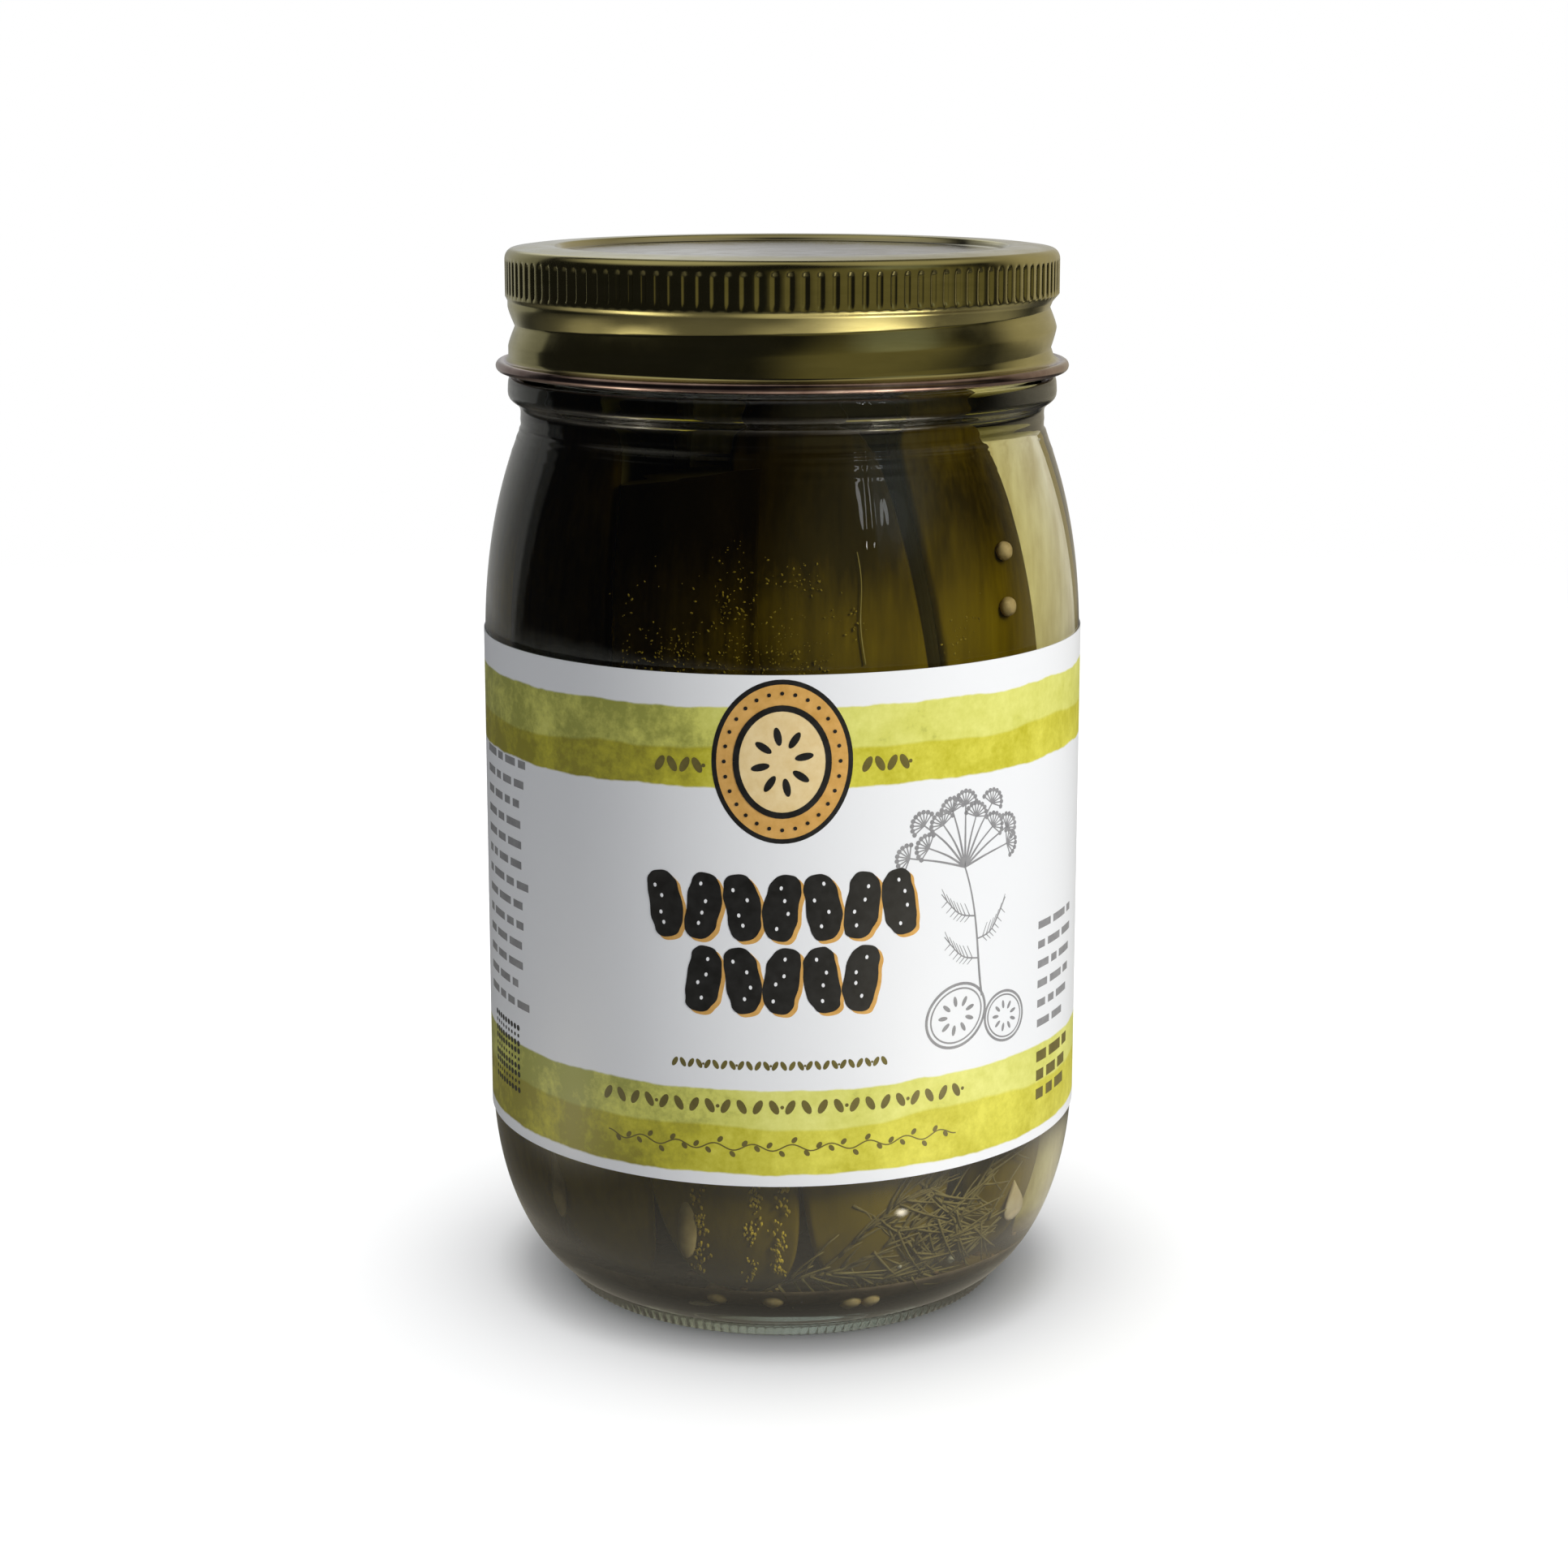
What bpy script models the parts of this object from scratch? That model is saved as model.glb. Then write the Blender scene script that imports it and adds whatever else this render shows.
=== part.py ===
"""A pint jar of gherkins in brine: glass jar, one-piece metal screw lid, wrap-round paper label and packed pickles.

Units are metres, +Z is up, and the origin is the centre of the foot ring. The front of the jar faces -Y.
"""

import math
import random

import bmesh
import bpy
from mathutils import Vector

MM = 0.001

# Glass jar
BODY_RADIUS = 39.05 * MM
WALL = 2.5 * MM
GLASS_SIDES = 56
FOOT_INNER_RADIUS = 27.4 * MM
FOOT_RADIUS = 29.1 * MM
FOOT_EDGE_RADIUS = 29.7 * MM
FOOT_EDGE_HEIGHT = 1.3 * MM
HEEL_TOP = 26.0 * MM
HEEL_CENTRE_RADIUS = 25.0 * MM
PUSH_UP = 1.7 * MM
FLOOR_HEIGHT = 4.9 * MM
FLOOR_CROWN = 0.9 * MM
FLOOR_RADIUS = 22.0 * MM
SHOULDER_BOTTOM = 86.0 * MM
SHOULDER_TOP = 114.0 * MM
SHOULDER_PULL_LOW = 13.0 * MM
SHOULDER_PULL_HIGH = 6.5 * MM
SHOULDER_PULL_OUT = 2.6 * MM
NECK_RADIUS = 34.0 * MM
NECK_RING_BOTTOM = 116.4 * MM
NECK_RING_RADIUS = 35.6 * MM
NECK_RING_WIDEST = 118.5 * MM
NECK_RING_TOP = 120.6 * MM
FINISH_RADIUS = 33.5 * MM
BORE_RADIUS = 31.2 * MM
RIM_HEIGHT = 135.1 * MM
RIM_ROUND = 0.6 * MM

# Metal lid
LID_SIDES = 62
LID_INNER_RADIUS = 34.3 * MM
LID_CEILING = 135.45 * MM
LID_HEIGHT = 137.2 * MM
LID_PANEL_HEIGHT = 136.3 * MM
LID_PANEL_RADIUS = 28.3 * MM
LID_LIP_RADIUS = 29.6 * MM
LID_CROWN_RADIUS = 34.5 * MM
LID_CROWN_HEIGHT = 136.9 * MM
KNURL_RADIUS = 35.75 * MM
KNURL_DEPTH = 0.4 * MM
KNURL_TOP = 135.2 * MM
KNURL_BOTTOM = 131.1 * MM
SKIRT_RADIUS = 35.45 * MM
SKIRT_TOP = 130.4 * MM
SKIRT_BOTTOM = 123.2 * MM
SKIRT_ROWS = 8
THREAD_PITCH = 5.08 * MM
THREAD_START_HEIGHT = 129.4 * MM
THREAD_DEPTH = 0.9 * MM
THREAD_FADE_FROM = 1.3
THREAD_FADE_TO = 0.1
BEAD_RADIUS = 36.4 * MM
BEAD_TUBE = 0.7 * MM
BEAD_HEIGHT = 121.9 * MM

# Paper label
LABEL_INNER_RADIUS = 39.25 * MM
LABEL_OUTER_RADIUS = 39.4 * MM
LABEL_BOTTOM = 23.75 * MM
LABEL_TOP = 88.0 * MM
LABEL_BACK_GAP = 6.0 * MM
LABEL_TILT = 0.0055
LABEL_STEPS = 62

# Pickles
PICKLE_CLEARANCE = 0.6 * MM
PICKLE_SIDES = 10
PICKLE_ROWS = 9
CORE_RADIUS = 21.0 * MM
CORE_SIDES = 14
CORE_BOTTOM = 9.0 * MM
CORE_TOP = 108.0 * MM
# Azimuths of the foot and the top from the front in degrees, half width, half depth,
# bottom and top in millimetres, cut flat on top or not
FRONT_PICKLES = (
    (-40.0, -55.0, 9.8, 8.0, 7.5, 117.0, False),
    (-9.0, -21.0, 9.6, 7.5, 7.0, 110.3, True),
    (20.0, 6.0, 10.2, 8.5, 7.5, 118.5, False),
    (54.0, 42.0, 8.6, 8.0, 7.5, 117.5, False),
    (84.0, 71.5, 9.0, 8.0, 8.0, 116.0, True),
)
BACK_PICKLE_COUNT = 8
BACK_FIRST_AZIMUTH = 97.0
BACK_LAST_AZIMUTH = 279.0
BACK_LEAN = 13.0
BACK_SEED = 11


def clear_scene():
    for old in list(bpy.data.objects):
        bpy.data.objects.remove(old)


def make_material(name, colour, roughness, metallic=0.0, transmission=0.0):
    material = bpy.data.materials.new(name)
    material.use_nodes = True
    shader = material.node_tree.nodes["Principled BSDF"]
    shader.inputs["Base Color"].default_value = (*colour, 1.0)
    shader.inputs["Roughness"].default_value = roughness
    shader.inputs["Metallic"].default_value = metallic
    shader.inputs["Transmission Weight"].default_value = transmission
    return material


def make_object(name, bm, material, smooth_angle=40.0):
    """Links the mesh as an object of that name, with its faces pointing out and its round sides shaded smooth."""
    bmesh.ops.recalc_face_normals(bm, faces=bm.faces)
    mesh = bpy.data.meshes.new(name)
    bm.to_mesh(mesh)
    bm.free()
    mesh.shade_smooth()
    mesh.set_sharp_from_angle(angle=math.radians(smooth_angle))
    mesh.materials.append(material)
    made = bpy.data.objects.new(name, mesh)
    bpy.context.scene.collection.objects.link(made)
    return made


def at_azimuth(azimuth, radius, z):
    """The point at an angle from the front, to the right as the angle grows."""
    return Vector((radius * math.sin(azimuth), -radius * math.cos(azimuth), z))


def add_ring(bm, sides, place):
    """One closed ring of vertices. place(angle) gives (radius, z), and the angle runs from +X through +Y."""
    ring = []
    for step in range(sides):
        angle = 2 * math.pi * step / sides
        radius, z = place(angle)
        ring.append(bm.verts.new((radius * math.cos(angle), radius * math.sin(angle), z)))
    return ring


def bridge(bm, one, other):
    """Faces between two rings that have as many vertices as each other, or one twice as many."""
    if len(one) > len(other):
        one, other = other, one
    count = len(one)
    ratio = len(other) // count
    for step in range(count):
        after = (step + 1) % count
        if ratio == 1:
            bm.faces.new((one[step], one[after], other[after], other[step]))
            continue
        near, middle, far = other[2 * step], other[2 * step + 1], other[(2 * step + 2) % len(other)]
        bm.faces.new((one[step], middle, near))
        bm.faces.new((one[step], one[after], middle))
        bm.faces.new((one[after], far, middle))


def turn(bm, points, sides):
    """A body of revolution from (radius, z) points. A point on the axis closes it there with a fan."""
    rings = []
    for radius, z in points:
        if radius <= 0:
            rings.append([bm.verts.new((0, 0, z))])
        else:
            rings.append(add_ring(bm, sides, lambda angle, place=(radius, z): place))
    for one, other in zip(rings, rings[1:]):
        join_rings(bm, one, other)
    return rings


def join_rings(bm, one, other):
    if len(one) > 1 and len(other) > 1:
        bridge(bm, one, other)
        return
    tip, ring = (one[0], other) if len(one) == 1 else (other[0], one)
    for step in range(len(ring)):
        bm.faces.new((tip, ring[step], ring[(step + 1) % len(ring)]))


def ellipse_arc(centre, half_width, half_height, first, last, steps):
    """Points on an ellipse from one angle to another in degrees, where 0 is outward and 90 is up."""
    points = []
    for step in range(steps + 1):
        angle = math.radians(first + (last - first) * step / steps)
        points.append(
            (centre[0] + half_width * math.cos(angle), centre[1] + half_height * math.sin(angle))
        )
    return points


def bezier(first, pull_first, pull_last, last, steps):
    points = []
    for step in range(steps + 1):
        t = step / steps
        weights = ((1 - t) ** 3, 3 * t * (1 - t) ** 2, 3 * t * t * (1 - t), t**3)
        pairs = list(zip(weights, (first, pull_first, pull_last, last)))
        points.append((sum(w * p[0] for w, p in pairs), sum(w * p[1] for w, p in pairs)))
    return points


def shoulder(inset, steps):
    """The shoulder curve from the body up to the neck, moved inward by inset."""
    body = BODY_RADIUS - inset
    neck = NECK_RADIUS - inset
    return bezier(
        (body, SHOULDER_BOTTOM),
        (body, SHOULDER_BOTTOM + SHOULDER_PULL_LOW),
        (neck + SHOULDER_PULL_OUT, SHOULDER_TOP - SHOULDER_PULL_HIGH),
        (neck, SHOULDER_TOP),
        steps,
    )


def glass_outside():
    """From the middle of the underside out over the foot and up to the rim."""
    heel_start = -math.degrees(
        math.acos((FOOT_EDGE_RADIUS - HEEL_CENTRE_RADIUS) / (BODY_RADIUS - HEEL_CENTRE_RADIUS))
    )
    points = [
        (0.0, PUSH_UP),
        (FOOT_INNER_RADIUS * 0.6, PUSH_UP * 0.85),
        (FOOT_INNER_RADIUS * 0.94, PUSH_UP * 0.4),
        (FOOT_INNER_RADIUS, 0.0),
        (FOOT_RADIUS, 0.0),
    ]
    points += ellipse_arc(
        (HEEL_CENTRE_RADIUS, HEEL_TOP),
        BODY_RADIUS - HEEL_CENTRE_RADIUS,
        HEEL_TOP,
        heel_start,
        0.0,
        9,
    )
    points += shoulder(0.0, 8)
    points += [
        (NECK_RADIUS, NECK_RING_BOTTOM - 0.4 * MM),
        (NECK_RADIUS + 0.7 * MM, NECK_RING_BOTTOM + 0.5 * MM),
        (NECK_RING_RADIUS, NECK_RING_WIDEST),
        (NECK_RING_RADIUS - 0.3 * MM, NECK_RING_TOP - 0.3 * MM),
        (NECK_RING_RADIUS - 0.8 * MM, NECK_RING_TOP),
        (FINISH_RADIUS, NECK_RING_TOP + 0.2 * MM),
        (FINISH_RADIUS, RIM_HEIGHT - RIM_ROUND),
        (FINISH_RADIUS - RIM_ROUND, RIM_HEIGHT),
    ]
    return points


def glass_inside():
    """From the rim down the bore and the wall to the middle of the floor."""
    body = BODY_RADIUS - WALL
    points = [
        (BORE_RADIUS + RIM_ROUND, RIM_HEIGHT),
        (BORE_RADIUS, RIM_HEIGHT - RIM_ROUND),
        (BORE_RADIUS, SHOULDER_TOP + 1.5 * MM),
    ]
    points += shoulder(WALL, 6)[::-1]
    points += ellipse_arc(
        (FLOOR_RADIUS, HEEL_TOP), body - FLOOR_RADIUS, HEEL_TOP - FLOOR_HEIGHT, 0.0, -90.0, 6
    )
    points += [
        (FLOOR_RADIUS * 0.5, FLOOR_HEIGHT + FLOOR_CROWN * 0.8),
        (0.0, FLOOR_HEIGHT + FLOOR_CROWN),
    ]
    return points


def inner_radius(z):
    """How far the inside of the glass is from the axis at a height."""
    outline = [p for p in glass_inside() if p[0] > 0]
    for (radius_high, high), (radius_low, low) in zip(outline, outline[1:]):
        if low <= z <= high and high > low:
            return radius_low + (radius_high - radius_low) * (z - low) / (high - low)
    return FLOOR_RADIUS


def build_glass():
    bm = bmesh.new()
    turn(bm, glass_outside() + glass_inside(), GLASS_SIDES)
    make_object("glass_jar", bm, make_material("glass", (0.94, 0.96, 0.93), 0.03, transmission=0.9))


def groove_depth(angle, z):
    """How deep the rolled thread is there: a sharp groove between soft flanks, winding down from behind the right side."""
    deepest = 0.0
    for turns_down in range(3):
        along = angle if angle <= THREAD_FADE_FROM else angle - 2 * math.pi
        along -= 2 * math.pi * turns_down
        fade = min(1.0, max(0.0, (THREAD_FADE_FROM - along) / (THREAD_FADE_FROM - THREAD_FADE_TO)))
        middle = THREAD_START_HEIGHT + THREAD_PITCH * along / (2 * math.pi)
        away = min(abs(z - middle) / (THREAD_PITCH / 2), 1.0)
        deepest = max(deepest, fade * THREAD_DEPTH * (1.0 - math.sin(math.pi / 2 * away)))
    return deepest


def knurl_radius(angle):
    """Ribs and valleys by turns, one of each for every second vertex of the knurled rings."""
    step = round(angle / (2 * math.pi) * 4 * LID_SIDES)
    return KNURL_RADIUS - (KNURL_DEPTH if step % 2 else 0.0)


def lid_top():
    """From the middle of the sunk panel over the lip and crown to the top of the knurl."""
    points = [
        (0.0, LID_PANEL_HEIGHT + 0.15 * MM),
        (LID_PANEL_RADIUS * 0.65, LID_PANEL_HEIGHT + 0.1 * MM),
        (LID_PANEL_RADIUS, LID_PANEL_HEIGHT),
        (LID_PANEL_RADIUS + 0.6 * MM, LID_PANEL_HEIGHT + 0.25 * MM),
        (LID_LIP_RADIUS - 0.3 * MM, LID_HEIGHT - 0.15 * MM),
        (LID_LIP_RADIUS + 0.4 * MM, LID_HEIGHT),
    ]
    points.append(((LID_LIP_RADIUS + LID_CROWN_RADIUS) / 2, LID_HEIGHT - 0.05 * MM))
    points += ellipse_arc(
        (LID_CROWN_RADIUS, KNURL_TOP + 0.3 * MM),
        KNURL_RADIUS - 0.05 * MM - LID_CROWN_RADIUS,
        LID_CROWN_HEIGHT - KNURL_TOP - 0.3 * MM,
        90.0,
        0.0,
        3,
    )
    return points


def build_lid():
    bm = bmesh.new()
    rows = turn(bm, lid_top(), LID_SIDES)[-1:]
    root = KNURL_RADIUS - 0.15 * MM
    rows.append(add_ring(bm, 2 * LID_SIDES, lambda angle: (root, KNURL_TOP + 0.15 * MM)))
    for z in (KNURL_TOP, KNURL_BOTTOM):
        rows.append(add_ring(bm, 4 * LID_SIDES, lambda angle, z=z: (knurl_radius(angle), z)))
    rows.append(add_ring(bm, 2 * LID_SIDES, lambda angle: (SKIRT_RADIUS, KNURL_BOTTOM - 0.2 * MM)))
    for row in range(SKIRT_ROWS):
        z = SKIRT_TOP + (SKIRT_BOTTOM - SKIRT_TOP) * row / (SKIRT_ROWS - 1)
        rows.append(
            add_ring(bm, LID_SIDES, lambda angle, z=z: (SKIRT_RADIUS - groove_depth(angle, z), z))
        )
    bead = ellipse_arc((BEAD_RADIUS, BEAD_HEIGHT), BEAD_TUBE, BEAD_TUBE, 115.0, -90.0, 5)
    inside = [
        (LID_INNER_RADIUS + 0.9 * MM, BEAD_HEIGHT - BEAD_TUBE),
        (LID_INNER_RADIUS, BEAD_HEIGHT - 0.4 * MM),
        (LID_INNER_RADIUS, LID_CEILING),
        (0.0, LID_CEILING),
    ]
    rows += turn(bm, bead + inside, LID_SIDES)[:1]
    for one, other in zip(rows, rows[1:]):
        bridge(bm, one, other)
    make_object("lid", bm, make_material("gold_lacquer", (0.55, 0.47, 0.2), 0.28, metallic=1.0))


def build_label():
    """A thin sleeve of paper with a narrow open strip at the back."""
    bm = bmesh.new()
    reach = math.pi - LABEL_BACK_GAP / 2 / LABEL_OUTER_RADIUS
    strips = []
    for step in range(LABEL_STEPS + 1):
        azimuth = reach * (2 * step / LABEL_STEPS - 1)
        strip = []
        for radius, z in (
            (LABEL_OUTER_RADIUS, LABEL_BOTTOM),
            (LABEL_OUTER_RADIUS, LABEL_TOP),
            (LABEL_INNER_RADIUS, LABEL_TOP),
            (LABEL_INNER_RADIUS, LABEL_BOTTOM),
        ):
            point = at_azimuth(azimuth, radius, z)
            point.z += LABEL_TILT * point.x
            strip.append(bm.verts.new(point))
        strips.append(strip)
    for one, other in zip(strips, strips[1:]):
        bridge(bm, one, other)
    bm.faces.new(strips[0])
    bm.faces.new(strips[-1])
    make_object("label", bm, make_material("label_paper", (0.86, 0.88, 0.86), 0.5))


def pickle_girth(share, cut):
    """Its thickness from 0 to 1 along its length: a round end at the bottom, and round or cut flat on top."""
    if cut and share > 0.5:
        return 1.0 - 0.12 * (share - 0.5)
    return max(0.0, 1.0 - abs(2 * share - 1) ** 4.5) ** 0.5


def pickle_mesh(low_azimuth, high_azimuth, half_width, half_depth, bottom, top, cut):
    """A gherkin that leans along the inside of the glass and follows its curve."""
    bm = bmesh.new()
    rings = []
    for row in range(PICKLE_ROWS + 1):
        share = 0.5 - 0.5 * math.cos(math.pi * row / PICKLE_ROWS)
        z = bottom + (top - bottom) * share
        girth = pickle_girth(share, cut)
        azimuth = low_azimuth + (high_azimuth - low_azimuth) * share
        out = inner_radius(z) - PICKLE_CLEARANCE - half_depth * max(girth, 0.55)
        middle = at_azimuth(azimuth, out, z)
        if girth < 0.01:
            rings.append([bm.verts.new(middle)])
            continue
        ring = []
        for side in range(PICKLE_SIDES):
            turned = 2 * math.pi * side / PICKLE_SIDES
            across = half_width * girth * math.sin(turned)
            outward = half_depth * girth * math.cos(turned)
            offset = at_azimuth(azimuth + across / inner_radius(z) * 0.5, outward, 0.0)
            offset += at_azimuth(azimuth + math.pi / 2, across, 0.0)
            ring.append(bm.verts.new(middle + offset))
        rings.append(ring)
    for one, other in zip(rings, rings[1:]):
        join_rings(bm, one, other)
    if cut:
        bm.faces.new(rings[-1])
    return bm


def core_mesh():
    bm = bmesh.new()
    turn(
        bm,
        [
            (0.0, CORE_BOTTOM),
            (CORE_RADIUS * 0.8, CORE_BOTTOM),
            (CORE_RADIUS, CORE_BOTTOM + 5 * MM),
            (CORE_RADIUS, CORE_TOP - 8 * MM),
            (CORE_RADIUS * 0.8, CORE_TOP),
            (0.0, CORE_TOP),
        ],
        CORE_SIDES,
    )
    return bm


def all_pickles():
    """The five pickles of the front, and seeded ones round the right side and the back."""
    rows = list(FRONT_PICKLES)
    draw = random.Random(BACK_SEED)
    for place in range(BACK_PICKLE_COUNT):
        share = place / (BACK_PICKLE_COUNT - 1)
        azimuth = BACK_FIRST_AZIMUTH + (BACK_LAST_AZIMUTH - BACK_FIRST_AZIMUTH) * share
        half_width = draw.uniform(9.0, 10.5)
        half_depth = draw.uniform(7.5, 8.5)
        bottom = draw.uniform(7.0, 8.5)
        top = draw.uniform(110.0, 117.0)
        rows.append((azimuth + BACK_LEAN, azimuth, half_width, half_depth, bottom, top, place % 3 == 1))
    return rows


def build_pickles():
    material = make_material("pickle_skin", (0.2, 0.19, 0.03), 0.35)
    heap = make_object("pickles", core_mesh(), material)
    pieces = bpy.data.collections.new("pickle_pieces")
    bpy.context.scene.collection.children.link(pieces)
    for index, (low, high, half_width, half_depth, bottom, top, cut) in enumerate(all_pickles()):
        sizes = [size * MM for size in (half_width, half_depth, bottom, top)]
        bm = pickle_mesh(math.radians(low), math.radians(high), *sizes, cut)
        piece = make_object("piece_%02d" % index, bm, material)
        bpy.context.scene.collection.objects.unlink(piece)
        pieces.objects.link(piece)
    union = heap.modifiers.new("union", "BOOLEAN")
    union.operation = "UNION"
    union.operand_type = "COLLECTION"
    union.collection = pieces
    union.solver = "EXACT"
    graph = bpy.context.evaluated_depsgraph_get()
    joined = bpy.data.meshes.new_from_object(heap.evaluated_get(graph))
    heap.modifiers.clear()
    heap.data = joined
    for piece in list(pieces.objects):
        bpy.data.objects.remove(piece)
    bpy.data.collections.remove(pieces)


def main():
    clear_scene()
    build_glass()
    build_lid()
    build_label()
    build_pickles()


main()
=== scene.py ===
"""The looks of a pint jar of gherkins in brine, with a gold screw lid and a printed paper label.

Lengths are metres, +Z is up, and the front of the jar faces -Y. An azimuth is measured from the front,
to the right.
"""

import math
import random

import bmesh
import bpy
import numpy as np
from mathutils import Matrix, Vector


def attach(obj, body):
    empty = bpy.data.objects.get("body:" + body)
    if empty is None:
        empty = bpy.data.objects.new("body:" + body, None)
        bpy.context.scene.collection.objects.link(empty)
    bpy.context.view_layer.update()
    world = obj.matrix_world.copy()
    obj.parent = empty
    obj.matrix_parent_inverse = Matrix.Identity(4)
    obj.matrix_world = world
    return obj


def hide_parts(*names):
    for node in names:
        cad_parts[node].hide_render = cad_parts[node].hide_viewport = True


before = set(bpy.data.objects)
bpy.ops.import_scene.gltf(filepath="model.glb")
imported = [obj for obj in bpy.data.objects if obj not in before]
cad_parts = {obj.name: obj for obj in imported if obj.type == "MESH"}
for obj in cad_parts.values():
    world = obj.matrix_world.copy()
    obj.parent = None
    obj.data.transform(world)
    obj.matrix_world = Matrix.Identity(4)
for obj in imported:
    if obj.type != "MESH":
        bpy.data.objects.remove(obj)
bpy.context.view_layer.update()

MM = 0.001

# Camera, fitted to the photograph's outlines
PHOTO_SIDE = 1932
PHOTO_FOCAL = 3746.154
PHOTO_CENTRE_X = 963.87
PHOTO_CENTRE_Y = 840.0
SENSOR = 36.0
CAMERA_DISTANCE = 0.395858
CAMERA_HEIGHT = 0.155821
CAMERA_PITCH = math.degrees(0.190)

# Glass jar
BODY_RADIUS = 39.05 * MM
WALL = 2.5 * MM
GLASS_SIDES = 480
FOOT_INNER_RADIUS = 27.4 * MM
FOOT_RADIUS = 29.1 * MM
FOOT_EDGE_RADIUS = 29.7 * MM
FOOT_TEETH = 160
FOOT_TOOTH_DEPTH = 0.16 * MM
FOOT_TOOTH_TOP = 1.9 * MM
HEEL_TOP = 26.0 * MM
HEEL_CENTRE_RADIUS = 25.0 * MM
PUSH_UP = 1.7 * MM
FLOOR_HEIGHT = 4.9 * MM
FLOOR_CROWN = 0.9 * MM
FLOOR_RADIUS = 22.0 * MM
SHOULDER_BOTTOM = 86.0 * MM
SHOULDER_TOP = 114.0 * MM
SHOULDER_PULL_LOW = 13.0 * MM
SHOULDER_PULL_HIGH = 6.5 * MM
SHOULDER_PULL_OUT = 2.6 * MM
NECK_RADIUS = 34.0 * MM
NECK_RING_BOTTOM = 116.4 * MM
NECK_RING_RADIUS = 35.6 * MM
NECK_RING_WIDEST = 118.5 * MM
NECK_RING_TOP = 120.6 * MM
FINISH_RADIUS = 33.5 * MM
BORE_RADIUS = 31.2 * MM
RIM_HEIGHT = 135.1 * MM
RIM_ROUND = 0.6 * MM
OUTSIDE_RIPPLE = 0.03 * MM
INSIDE_RIPPLE = 0.1 * MM
# Heights between which the ripple of the wall comes in and goes out
RIPPLE_BOTTOM = (3 * MM, 14 * MM)
RIPPLE_TOP = (116 * MM, 110 * MM)
SEAM_AZIMUTH = 17.5
SEAM_HEIGHT = 0.07 * MM
SEAM_WIDTH = 0.35 * MM
SEAM_BOTTOM = (90 * MM, 92 * MM)
# Fine rings that the mould left under the neck: height, wander up and down, and how far each stands out
MOULD_RINGS = ((115.0, 0.15, 0.05), (113.6, 0.25, 0.09), (112.7, 0.35, 0.05), (110.9, 0.5, 0.035))
MOULD_RING_WIDTH = 0.3 * MM

# Brine
BRINE_TOP = 122.5 * MM
BRINE_REACH = 0.2 * MM
MENISCUS = 0.7 * MM
BRINE_SIDES = 240
# Distances in millimetres from the wall at which the surface of the brine has points
BRINE_INSETS = (0.25, 0.5, 0.9, 1.5, 2.4, 4.0, 8.0, 16.0, 24.0)

# Metal lid
LID_SIDES = 744
LID_RIBS = 124
LID_INNER_RADIUS = 34.3 * MM
LID_CEILING = 135.45 * MM
LID_HEIGHT = 137.2 * MM
LID_PANEL_HEIGHT = 136.3 * MM
LID_PANEL_RADIUS = 28.3 * MM
LID_PANEL_CROWN = 0.15 * MM
LID_LIP_RADIUS = 29.6 * MM
LID_CROWN_RADIUS = 34.5 * MM
LID_CROWN_HEIGHT = 136.9 * MM
KNURL_RADIUS = 35.75 * MM
KNURL_DEPTH = 0.5 * MM
KNURL_TOP = 135.2 * MM
KNURL_BOTTOM = 131.1 * MM
SKIRT_RADIUS = 35.45 * MM
SKIRT_BOTTOM = 123.0 * MM
THREAD_PITCH = 5.08 * MM
THREAD_START_HEIGHT = 129.4 * MM
THREAD_DEPTH = 0.9 * MM
THREAD_FLANK = 1.25
THREAD_END_HEIGHTS = (123.0 * MM, 124.8 * MM)
THREAD_FADE_FROM = 1.3
THREAD_FADE_TO = 0.1
BEAD_RADIUS = 36.4 * MM
BEAD_TUBE = 0.7 * MM
BEAD_HEIGHT = 121.9 * MM
# A dark reflection is painted on the panel, darkest round this point
DULL_SPOT = (4 * MM, 20 * MM, LID_PANEL_HEIGHT)
DULL_SPOT_REACH = 28 * MM

# Paper label
LABEL_INNER_RADIUS = 39.1 * MM
LABEL_OUTER_RADIUS = 39.22 * MM
LABEL_BOTTOM = 23.75 * MM
LABEL_TOP = 88.0 * MM
LABEL_BACK_GAP = 6.0 * MM
LABEL_TILT = 0.0055
UPPER_BAND = (74.0 * MM, 84.0 * MM)
UPPER_BAND_SPLIT = 78.6 * MM
LOWER_BAND = (25.2 * MM, 36.2 * MM)
LOWER_BAND_SPLIT = 31.5 * MM
INK_RAISE = 0.03 * MM
INK_STEP = 1.0 * MM
# The two washes of a band: how far along the mottle each colour stands
PALE_WASH = ((0.26, (0.36, 0.37, 0.06)), (0.42, (0.66, 0.66, 0.13)), (0.66, (0.8, 0.8, 0.23)))
FULL_WASH = ((0.26, (0.3, 0.27, 0.01)), (0.42, (0.53, 0.49, 0.02)), (0.66, (0.76, 0.72, 0.09)))
# Print, in millimetres across and up the label. The rows of the title: count, height and tilt
TITLE_ROWS = ((7, 59.3, 0.16), (5, 50.1, -0.16))
TITLE_STEP = 4.9
TITLE_SIZE = (8.4, 4.3)
BADGE_CENTRE = (0.0, 77.4)
BAR_GAP = 0.9
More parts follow.
